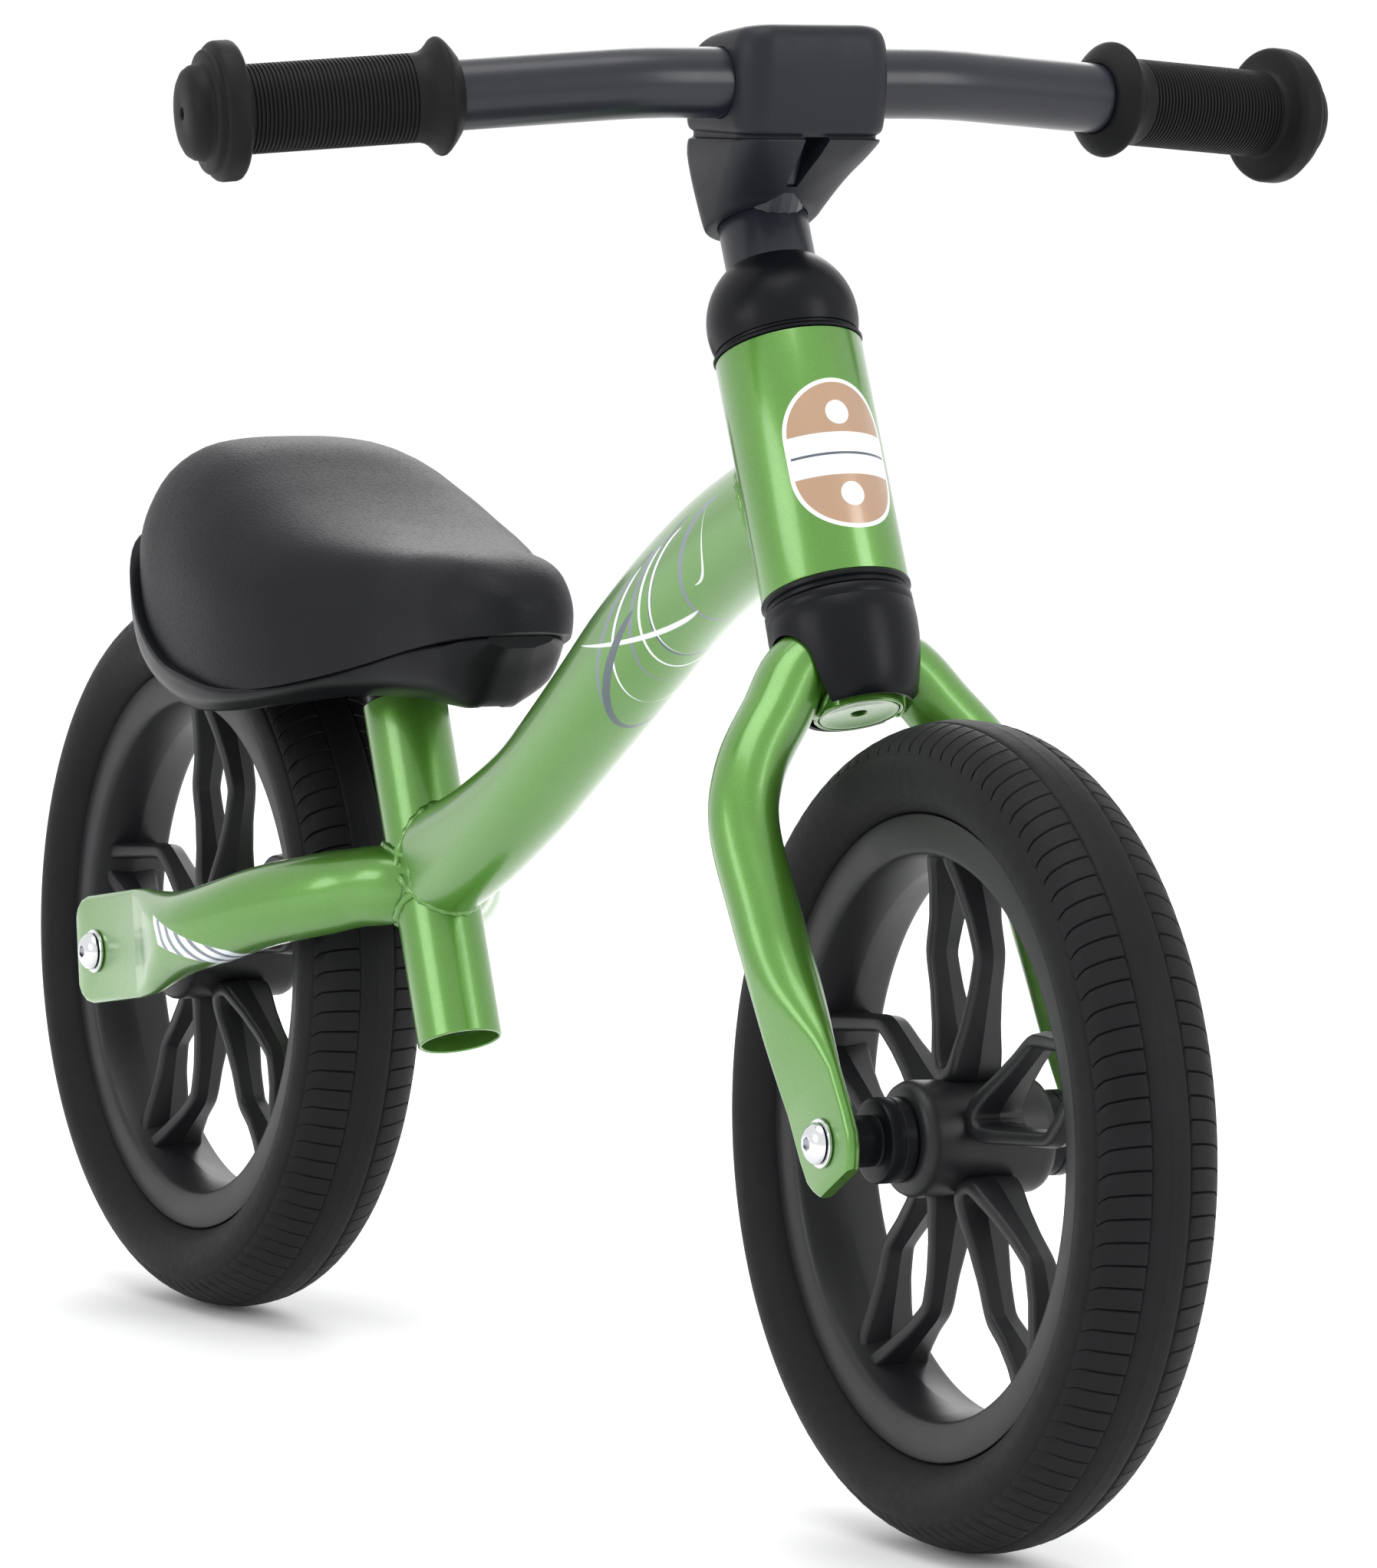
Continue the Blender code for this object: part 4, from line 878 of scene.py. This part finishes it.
# ---- tyres ----
# Solid foam tyres moulded with a smooth sidewall, curved cuts across both shoulders, and two
# grooves beside a smooth running band that carries the mould's parting line.
tyre_foam = Finish("tyre_foam", (0.006, 0.006, 0.007), 0.55, shine=0.14)
worn = tyre_foam.grain(22.0, 3.0)
FRESH_FOAM = (0.0045, 0.0045, 0.0052)
DUSTY_FOAM = (0.0085, 0.0085, 0.0098)
tyre_foam.feed("Base Color", tyre_foam.mixed(worn, FRESH_FOAM, DUSTY_FOAM))
tyre_foam.feed("Roughness", 0.50 + tyre_foam.grain(3.0) * 0.16)
tyre_foam.raise_surface(tyre_foam.grain(0.55, 3.0) * 0.6 + tyre_foam.cells(0.9) * 0.4, 0.10)
CUT_COUNT = 110
CUT_DEPTH = 0.8
# along one pitch of the tread: how far along, and what share of the full depth
CUT_SHAPE = (
    (0.0, 1.0), (0.035, 0.35), (0.07, -0.10), (0.45, 0.0), (0.94, 0.0), (0.968, 0.4), (1.0, 1.0)
)
CROWN_MIDDLE = 110.0
CROWN_HEIGHT = 17.0
TYRE_HALF_WIDTH = 22.5


def tyre_point(turn):
    """Point on the tyre's rounded outside; turn runs from the widest point to the crown."""
    return (CROWN_MIDDLE + CROWN_HEIGHT * math.sin(turn), TYRE_HALF_WIDTH * math.cos(turn))


def tyre_half():
    """Half section from the foot to the crown: (radius, width, how deep a cut goes, lag)."""
    points = [
        (93.3, 10.6, 0.0, 0.0), (96.4, 12.1, 0.0, 0.0), (98.7, 13.2, 0.0, 0.0),
        (99.3, 13.9, 0.0, 0.0), (99.6, 14.9, 0.0, 0.0), (100.4, 16.2, 0.0, 0.0),
        (101.8, 18.0, 0.0, 0.0), (103.6, 19.8, 0.0, 0.0), (105.8, 21.3, 0.0, 0.0),
        (108.4, 22.2, 0.0, 0.0),
    ]
    for degrees in (4.0, 12.0, 19.0, 23.0):
        points.append((*tyre_point(math.radians(degrees)), 0.0, 0.0))
    for degrees, drop, cut in (
        (25.5, 0.45, 0.0), (27.5, 0.10, 0.5), (31.0, 0.0, 1.0), (37.0, 0.0, 1.0),
        (44.0, 0.0, 1.0), (51.0, 0.0, 1.0), (58.0, 0.0, 1.0), (65.0, 0.0, 1.0),
        (70.0, 0.0, 1.0), (72.2, 0.15, 0.6), (73.4, 0.55, 0.0), (74.6, 0.15, 0.0),
        (77.5, 0.0, 0.0), (82.0, 0.0, 0.0), (86.0, 0.0, 0.0), (88.6, 0.0, 0.0),
    ):
        radius, width = tyre_point(math.radians(degrees))
        reach = (degrees - 27.5) / (72.2 - 27.5)
        lag = 0.0 if cut == 0.0 else 4.2 * reach - 2.2 * reach * reach
        if reach < 0.14:
            lag -= 1.4 * (0.14 - max(reach, 0.0)) / 0.14
        points.append((radius - drop, width * (1 - drop * 0.004), cut, lag))
    points.append((127.12, 0.0, 0.0, 0.0))
    return points


def foam_tyre(end, place, body):
    half = tyre_half()
    section = half + [(r, -w, cut, lag) for r, w, cut, lag in half[-2::-1]]
    pitch = 2 * math.pi / CUT_COUNT
    sections = []
    for share, sunk in CUT_SHAPE:
        ring = []
        for radius, width, cut, lag in section:
            angle = pitch * share + lag / radius * (1.0 if cut else 0.0)
            reach = radius - CUT_DEPTH * sunk * cut
            ring.append(Vector((reach * math.sin(angle), reach * math.cos(angle), width)))
        sections.append(ring)
    tyre = skinned(end + "_tyre_ring", sections, ends=False)
    repeated(tyre)
    settled(tyre, place)
    fitted(tyre, tyre_foam, body, "foam_tyre", end + "_tyre", sharp=40.0)


def repeated(piece):
    """One pitch of the tread repeated round the wheel and merged into one ring."""
    hinge = bpy.data.objects.new(piece.name + "_pitch", None)
    bpy.context.scene.collection.objects.link(hinge)
    hinge.rotation_euler = (0.0, 0.0, -2 * math.pi / CUT_COUNT)
    rows = piece.modifiers.new("round_the_wheel", "ARRAY")
    rows.count = CUT_COUNT
    rows.use_relative_offset = False
    rows.use_object_offset = True
    rows.offset_object = hinge
    rows.use_merge_vertices = True
    rows.merge_threshold = 1e-5
    rows.use_merge_vertices_cap = True
    alone(piece)
    bpy.context.view_layer.update()
    bpy.ops.object.modifier_apply(modifier=rows.name)
    bpy.data.objects.remove(hinge)
    bpy.ops.object.mode_set(mode="EDIT")
    bpy.ops.mesh.select_all(action="SELECT")
    bpy.ops.mesh.remove_doubles(threshold=2e-5)
    bpy.ops.mesh.normals_make_consistent(inside=False)
    bpy.ops.object.mode_set(mode="OBJECT")


foam_tyre("front", FRONT, "front_wheel_body")
foam_tyre("rear", REAR, "rear_wheel_body")


# ---- axles ----
# A hollow axle runs through each hub's bearings.  Stepped black spacers centre the wheel
# between the plates, and a plated button-headed bolt with its washer clamps each side.
chrome = Finish("plated_steel", (0.70, 0.71, 0.73), 0.12, 1.0)
chrome.feed("Roughness", 0.08 + chrome.grain(1.6) * 0.12)
SPACER_LINE = (
    (5.3, 23.3), (12.7, 23.3), (13.2, 23.8), (13.2, 27.2), (12.9, 27.5), (12.9, 28.0),
    (13.2, 28.3), (13.2, 31.6), (12.8, 32.6), (11.8, 33.0), (8.4, 33.0), (7.95, 33.5),
    (7.95, 44.9), (7.6, 45.2), (5.3, 45.2),
)
WASHER_LINE = ((3.3, 50.3), (7.3, 50.3), (7.6, 50.5), (7.6, 51.2), (7.3, 51.5), (3.3, 51.5))
BOLT_LINE = (
    (3.0, 24.0), (3.0, 51.8), (6.2, 51.8), (6.5, 52.1), (6.4, 52.7), (5.9, 53.6),
    (5.0, 54.5), (4.0, 55.1), (3.0, 55.4),
)
SOCKET_SIZE = 2.3
SOCKET_FLOOR = 53.4


def socket_bolt(name, line, socket_floor, place, flip, body, node):
    """Turned bolt with a six-sided socket sunk in its head."""
    tip = line[-1][1]
    bolt = turned(name, [(r, flip * h) for r, h in line], 64, None, hollow=False)
    low, high_end = sorted((flip * socket_floor, flip * (tip + 2.0)))
    shaped_by(bolt, round_bar(name + "_socket", SOCKET_SIZE, low, high_end, None, 6))
    settled(bolt, place)
    fitted(bolt, chrome, body, "plated_steel", node)


for end, place, body in (("front", FRONT, "fork_body"), ("rear", REAR, "frame_body")):
    for side, sign in SIDES:
        spacer = turned(
            end + "_spacer_turned_" + side, [(r, sign * h) for r, h in SPACER_LINE], 72, place
        )
        fitted(spacer, black_plastic, body, "black_plastic", end + "_spacer_" + side)
        washer = turned(
            end + "_washer_plated_" + side, [(r, sign * h) for r, h in WASHER_LINE], 64, place
        )
        fitted(washer, chrome, body, "plated_steel", end + "_washer_" + side)
        socket_bolt(
            end + "_bolt_button_" + side, BOLT_LINE, SOCKET_FLOOR, place, sign, body,
            end + "_bolt_" + side,
        )
SEAT_BOLT_LINE = (
    (3.0, 13.1), (3.0, 18.7), (5.1, 18.7), (5.4, 19.0), (5.3, 19.9), (4.8, 20.9), (4.0, 21.7),
    (3.0, 22.1),
)
for level, depth in SEAT_BOLT_LEVELS:
    spot = SEAT @ Matrix.Translation((0.0, 0.0, -depth * MM)) @ BACKWARDS
    socket_bolt(
        "seat_bolt_button_" + level, SEAT_BOLT_LINE, 20.1, spot, 1.0, "frame_body",
        "seat_bolt_" + level,
    )


# ---- stem and bar ----
# The painted steel stem stands in the steerer and reaches forward under the pad to the bar,
# a drawn steel tube swept back at both ends.
bar_paint = Finish("black_bar_paint", (0.0056, 0.0066, 0.0125), 0.30, 0.0, 0.20, 0.18, 0.35)
bar_paint.feed("Roughness", 0.30 + bar_paint.grain(7.0) * 0.10)
bar_paint.raise_surface(bar_paint.grain(0.7) * 0.5 + bar_paint.grain(5.0) * 0.5, 0.03)
COLUMN_TOP = 139.0
column = turned(
    "stem_column_tube",
    [
        (4.3, COLUMN_TOP), (12.9, COLUMN_TOP), (13.9, COLUMN_TOP - 0.4),
        (14.3, COLUMN_TOP - 1.4), (14.3, 96.7), (14.1, 96.5), (12.7, 96.5), (12.7, 46.0),
        (10.4, 46.0), (10.4, 134.0), (4.3, 134.0),
    ],
    80, STEER,
)
fitted(column, bar_paint, "bar_body", "black_paint", "stem_column")
BAR_RADIUS = 11.1
BAR_HEIGHT = 157.0
BAR_FORWARD = 37.0
BAR_SWEEP = 0.178
BEND_START = 42.0
BEND_END = 64.0
BAR_HALF = 193.0


def bar_forward(width):
    reach = abs(width)
    if reach <= BEND_START:
        return BAR_FORWARD
    bend = BEND_END - BEND_START
    if reach >= BEND_END:
        return BAR_FORWARD - BAR_SWEEP * (bend / 2 + reach - BEND_END)
    return BAR_FORWARD - BAR_SWEEP * (reach - BEND_START) ** 2 / (2 * bend)


widths = [-BAR_HALF] + [BEND_END * (step / 16 - 1.0) for step in range(33)] + [BAR_HALF]
bar_stations = [
    (bar_forward(width), width, BAR_HEIGHT, 2 * BAR_RADIUS, 2 * BAR_RADIUS) for width in widths
]
bar = skinned("handlebar_tube", tube_sections(bar_stations, UP, 64), STEER)
fitted(bar, bar_paint, "bar_body", "black_paint", "handlebar")


# ---- grips ----
# Soft rubber grips pushed over the bar ends: fine ribs round the hand, a flared guard on the
# inside, and a thick bumper disc with a stepped cap outside.
grip_rubber = Finish("grip_rubber", (0.0048, 0.0048, 0.0056), 0.58, shine=0.15)
grip_rubber.feed("Roughness", 0.48 + grip_rubber.grain(4.0) * 0.14)
grip_rubber.raise_surface(grip_rubber.grain(0.5, 3.0), 0.05)
GRIP_PLACE = 118.4
RIB_COUNT = 40
RIB_FIRST = 9.0
RIB_LAST = 62.0
RIB_PITCH = (RIB_LAST - RIB_FIRST) / RIB_COUNT
grip_line = [
    (11.4, -5.5), (12.5, -5.5), (13.2, -5.2), (15.4, -3.6), (17.6, -1.7), (18.4, -0.7),
    (18.5, 0.1), (18.1, 0.9), (16.9, 1.9), (15.4, 3.4), (14.4, 5.0), (13.9, 7.0),
]
for number in range(RIB_COUNT):
    start = RIB_FIRST + RIB_PITCH * number
    grip_line += [
        (13.9, start + 0.12), (13.9, start + RIB_PITCH * 0.56),
        (13.35, start + RIB_PITCH * 0.68), (13.35, start + RIB_PITCH * 0.90),
    ]
grip_line += [
    (13.9, RIB_LAST + 0.3), (14.0, 63.0), (14.8, 63.6), (18.6, 64.2), (20.6, 64.7),
    (21.4, 65.4), (21.75, 66.4), (21.75, 70.4), (21.5, 71.4), (20.8, 72.3), (20.0, 72.7),
    (19.4, 72.8), (19.2, 73.1), (19.2, 74.3), (18.8, 74.8), (15.8, 75.2), (15.2, 75.6),
    (15.0, 76.6), (14.6, 78.6), (13.4, 80.4), (11.4, 81.5), (8.0, 81.9), (3.0, 82.0),
    (2.1, 81.8), (1.9, 81.4), (1.9, 76.4), (11.4, 76.4),
]
for side, sign in SIDES:
    away = Vector((-BAR_SWEEP, sign, 0.0)).normalized()
    spin = UP.rotation_difference(away).to_matrix().to_4x4()
    spot = Vector((bar_forward(GRIP_PLACE), sign * GRIP_PLACE, BAR_HEIGHT)) * MM
    grip = turned("grip_ribbed_" + side, grip_line, 96, STEER @ Matrix.Translation(spot) @ spin)
    fitted(grip, grip_rubber, "bar_body", "grip_rubber", "grip_" + side, sharp=50.0)


# ---- bar pad ----
# Moulded soft foam pad, a block round the bar over a skirt that narrows round the stem.  It
# opens along a slot at the front, by which it is pushed on.
pad_foam = Finish("pad_foam", (0.0072, 0.0080, 0.0120), 0.5, shine=0.26)
pad_foam.feed("Roughness", 0.42 + pad_foam.grain(10.0) * 0.12)
pad_foam.raise_surface(pad_foam.grain(0.6, 2.0) * 0.7 + pad_foam.grain(7.0) * 0.3, 0.06)
# (middle, height, length, width, corner, tilt in degrees), from the top down
PAD_LEVELS = (
    (146.3, 460.6, 20.0, 34.0, 4.0, -7.0), (146.2, 460.5, 24.0, 38.0, 5.5, -7.0),
    (145.8, 460.1, 29.5, 42.4, 7.2, -7.5), (145.1, 459.2, 35.0, 46.4, 8.6, -8.0),
    (144.4, 457.9, 39.5, 49.2, 9.6, -8.0), (143.6, 456.0, 43.2, 51.2, 10.2, -7.5),
    (142.9, 453.0, 46.0, 52.7, 10.6, -6.5), (142.2, 448.0, 47.9, 53.4, 10.6, -3.5),
    (141.6, 443.0, 48.5, 53.6, 10.4, -1.0), (141.3, 437.0, 48.3, 53.3, 10.2, 0.0),
    (141.1, 432.0, 47.6, 52.6, 9.8, 0.0), (141.0, 429.4, 46.6, 51.8, 9.4, 0.0),
    (141.0, 428.3, 45.0, 50.4, 8.8, 0.0), (141.0, 427.8, 43.4, 49.0, 8.4, 0.0),
    (140.8, 427.2, 43.0, 48.6, 8.2, -0.5), (140.6, 426.3, 43.0, 48.6, 8.2, -1.0),
    (140.5, 425.9, 44.6, 50.2, 8.8, -1.5), (140.3, 425.2, 46.0, 51.4, 9.4, -2.0),
    (138.4, 422.0, 45.8, 50.6, 10.2, -5.0), (135.7, 417.0, 44.0, 47.6, 11.4, -9.0),
    (133.1, 412.4, 42.0, 44.6, 13.0, -14.0), (130.7, 408.0, 40.0, 41.8, 14.6, -18.0),
    (128.7, 404.0, 38.2, 39.2, 15.8, -22.0), (127.3, 401.0, 36.6, 37.0, 16.4, -25.2),
    (126.9, 399.8, 35.2, 35.6, 16.2, -25.5), (126.6, 399.1, 33.2, 33.4, 15.4, -25.5),
)
pad_sections = []
for middle, height, length, width, corner, tilt in smoothed(PAD_LEVELS, 2):
    lean = math.radians(tilt)
    lie = Vector((math.cos(lean), 0.0, -math.sin(lean)))
    pad_sections.append(
        [
            Vector((middle, v, height)) + lie * u
            for u, v in rounded(length, width, corner, 64)
        ]
    )
pad = skinned("bar_pad_moulding", pad_sections)
BAR_SPOT = STEER @ Matrix.Translation(Vector((BAR_FORWARD, 0.0, BAR_HEIGHT)) * MM)
shaped_by(pad, round_bar("pad_bar_hole", 11.35, -60.0, 60.0, BAR_SPOT @ wheel_turn, 64))
shaped_by(pad, round_bar("pad_stem_hole", 14.55, 110.0, 147.0, STEER, 64))
slot_sections = [
    [
        Vector((reach, -half_width, height)), Vector((reach, half_width, height)),
        Vector((182.0, half_width, height)), Vector((182.0, -half_width, height)),
    ]
    for reach, half_width, height in ((144.0, 4.4, 427.1), (136.0, 3.0, 417.0), (134.0, 1.9, 411.0))
]
shaped_by(pad, skinned("pad_slot", slot_sections))
fitted(pad, pad_foam, "bar_body", "moulded_foam", "bar_pad", sharp=40.0)


# ---- seat post and saddle ----
# The post slides in the seat tube.  The saddle is a moulded cushion with a fine leather
# grain, set in a plastic base whose rim wraps up round the tail.
post = turned(
    "seat_post_tube",
    [
        (10.9, 6.0 - SEAT_TUBE_LENGTH), (12.7, 6.0 - SEAT_TUBE_LENGTH), (12.7, 33.0),
        (10.9, 33.0),
    ],
    72, SEAT,
)
fitted(post, bar_paint, "seat_body", "black_paint", "seat_post")

saddle_skin = Finish("saddle_skin", (0.0080, 0.0083, 0.0105), 0.46, shine=0.12)
pebble = saddle_skin.cells(1.15)
pore = saddle_skin.grain(0.5, 3.0)
saddle_skin.feed("Roughness", 0.36 + pebble * 0.12 + saddle_skin.grain(30.0) * 0.08)
saddle_skin.raise_surface(pebble * 0.7 + pore * 0.5, 0.09)
# stations: (x, half width, top, shoulder, edge, lip)
CUSHION = (
    (-264.0, 27.0, 276.0, 274.0, 271.0, 268.0), (-258.5, 38.5, 290.5, 284.0, 270.0, 259.0),
    (-246.0, 47.5, 302.5, 293.5, 269.0, 249.0), (-228.0, 53.5, 310.0, 299.0, 268.5, 239.0),
    (-204.0, 57.0, 308.5, 298.0, 267.0, 232.0), (-180.0, 59.0, 300.5, 291.5, 264.0, 229.0),
    (-156.0, 58.5, 292.5, 284.5, 260.0, 229.0), (-132.0, 54.0, 286.5, 280.0, 258.0, 231.5),
    (-110.0, 45.5, 283.0, 277.5, 257.0, 236.5), (-90.0, 36.0, 281.5, 276.5, 257.5, 242.5),
    (-70.0, 29.8, 281.7, 276.5, 259.0, 248.5), (-54.0, 25.3, 280.3, 275.0, 260.0, 252.5),
    (-43.0, 19.5, 276.3, 271.5, 260.5, 255.0), (-36.5, 12.5, 270.5, 268.0, 260.0, 256.0),
    (-34.0, 6.0, 265.5, 264.5, 260.0, 257.0),
)
# stations: (x, half width, rim, half width below, bottom)
BASE = (
    (-266.4, 28.0, 275.5, 25.0, 262.0), (-261.0, 41.5, 274.0, 38.0, 251.5),
    (-248.0, 50.5, 264.0, 45.5, 240.0), (-229.0, 56.0, 247.5, 49.5, 228.5),
    (-204.0, 59.2, 236.0, 52.0, 222.0), (-180.0, 60.6, 232.0, 53.0, 219.8),
    (-156.0, 58.6, 229.6, 50.0, 222.0), (-132.0, 51.5, 231.8, 43.0, 226.0),
    (-112.0, 43.5, 236.0, 28.0, 230.0), (-92.0, 34.5, 242.0, 14.0, 230.5),
    (-74.0, 29.0, 247.5, 9.0, 229.5), (-61.0, 24.5, 250.8, 7.5, 230.0),
    (-54.0, 22.0, 252.0, 7.0, 237.0), (-48.0, 18.0, 253.8, 6.0, 245.0),
    (-42.0, 12.0, 255.0, 5.0, 251.0),
)


def shell_sections(outlines, grow=0.0):
    """Rings across the saddle from half outlines of (x, [(side, height), ...])."""
    sections = []
    for x, line in outlines:
        ring = [Vector((x, y + grow * (y > 0.0), z)) for y, z in line]
        ring += [Vector((point.x, -point.y, point.z)) for point in ring[-2:0:-1]]
        sections.append(ring)
    return sections


outlines = []
for x, half, top, shoulder, edge, lip in smoothed(CUSHION, 5):
    crown = (
        (0.0, top), (0.30, top - 0.04 * (top - shoulder)), (0.58, top - 0.30 * (top - shoulder)),
        (0.80, shoulder), (0.93, shoulder - 0.38 * (shoulder - edge)),
        (0.99, edge + 0.25 * (shoulder - edge)), (1.0, edge - 0.15 * (edge - lip)),
        (0.985, edge - 0.75 * (edge - lip)), (0.965, lip),
    )
    line = smoothed([(half * share, height) for share, height in crown], 3)
    outlines.append((x, line + [(0.8 * half, lip), (0.0, lip)]))
cushion = skinned("saddle_cushion_skin", shell_sections(outlines))
shaped_by(cushion, round_bar("cushion_post_room", 17.6, 0.0, 36.8, SEAT, 48))
shaped_by(cushion, round_bar("cushion_arch", 137.7, -32.2, 32.2, REAR, 96))
CROSS_BOLT = SEAT @ Matrix.Translation((0.0, 0.0, 22.5 * MM)) @ wheel_turn
shaped_by(cushion, round_bar("cushion_bolt_room", 7.0, -23.5, 23.5, CROSS_BOLT, 32))
fitted(cushion, saddle_skin, "seat_body", "moulded_foam", "saddle_cushion", sharp=50.0)

room = skinned("base_cushion_room", shell_sections(outlines, 0.12))
outlines = []
for x, half, rim, low_half, low in smoothed(BASE, 4):
    middle = half - 0.25 * (half - low_half)
    wall = [(half, rim - 1.6), (middle, rim - 0.6 * (rim - low)), (low_half, low)]
    line = [(0.0, rim), (half - 1.3, rim), (half - 0.5, rim - 0.15), (half - 0.08, rim - 0.7)]
    outlines.append((x, line + smoothed(wall, 4) + [(0.5 * low_half, low), (0.0, low)]))
base = skinned("saddle_base_shell", shell_sections(outlines))
shaped_by(base, room)
hood = []
for y in (-32.0, 32.0):
    hood.append([])
    for reach, turns in ((137.5, range(5, 40)), (133.0, range(39, 4, -1))):
        for turn in turns:
            angle = math.radians(turn)
            hood[-1].append(
                Vector((-274.0 + reach * math.sin(angle), y, 127.0 + reach * math.cos(angle)))
            )
shaped_by(base, skinned("base_hood", hood), "UNION")
inside = []
for x, half, rim, low_half, low in BASE[3:12]:
    high = low + 3.0 if x < -200.0 else rim - 4.0
    wide = low_half - 3.0
    inside.append(
        [
            Vector((x, -wide, low - 6.0)), Vector((x, wide, low - 6.0)),
            Vector((x, wide, high)), Vector((x, -wide, high)),
        ]
    )
shaped_by(base, skinned("base_inside", inside))
shaped_by(base, round_bar("base_arch", 134.5, -29.0, 29.0, REAR, 96))
shaped_by(base, round_bar("base_tube_mouth", 15.8, -30.0, 3.0, SEAT, 64))
socket = turned(
    "base_post_socket",
    [
        (10.0, 36.0), (10.0, 7.0), (15.9, 7.0), (16.6, 7.2), (17.0, 7.8), (17.0, 35.6),
        (16.6, 36.0),
    ],
    72, SEAT,
)
shaped_by(base, socket, "UNION")
shaped_by(base, round_bar("base_post_hole", 12.75, -4.0, 33.1, SEAT, 72))
shaped_by(base, round_bar("base_bolt_hole", 3.1, -24.0, 24.0, CROSS_BOLT, 32))
fitted(base, black_plastic, "seat_body", "black_plastic", "saddle_base", sharp=40.0)

# ---- pieces inside the others ----
# Bearings, axles and the clamps of the stem and saddle are plain steel, taken as they are.
INNER_STEEL = [
    "headset_bearing_upper", "headset_bearing_lower", "headset_nut", "quill_wedge",
    "quill_bolt", "saddle_bolt", "saddle_nut", "front_axle", "rear_axle",
]
for end in ("front", "rear"):
    INNER_STEEL += [end + "_bearing_" + side for side, sign in SIDES]
kept_finish = dict.fromkeys(INNER_STEEL, bearing_steel)
kept_finish["stem_extension"] = bar_paint
for node, finish in kept_finish.items():
    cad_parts[node].data.materials.clear()
    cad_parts[node].data.materials.append(finish.material)


# ---- floor finish ----
# Smooth pale studio floor.
floor_finish = Finish("studio_floor", (0.95, 0.95, 0.955), 0.6)
floor_finish.feed("Roughness", 0.55 + floor_finish.grain(60.0) * 0.08)
floor.data.materials.append(floor_finish.material)
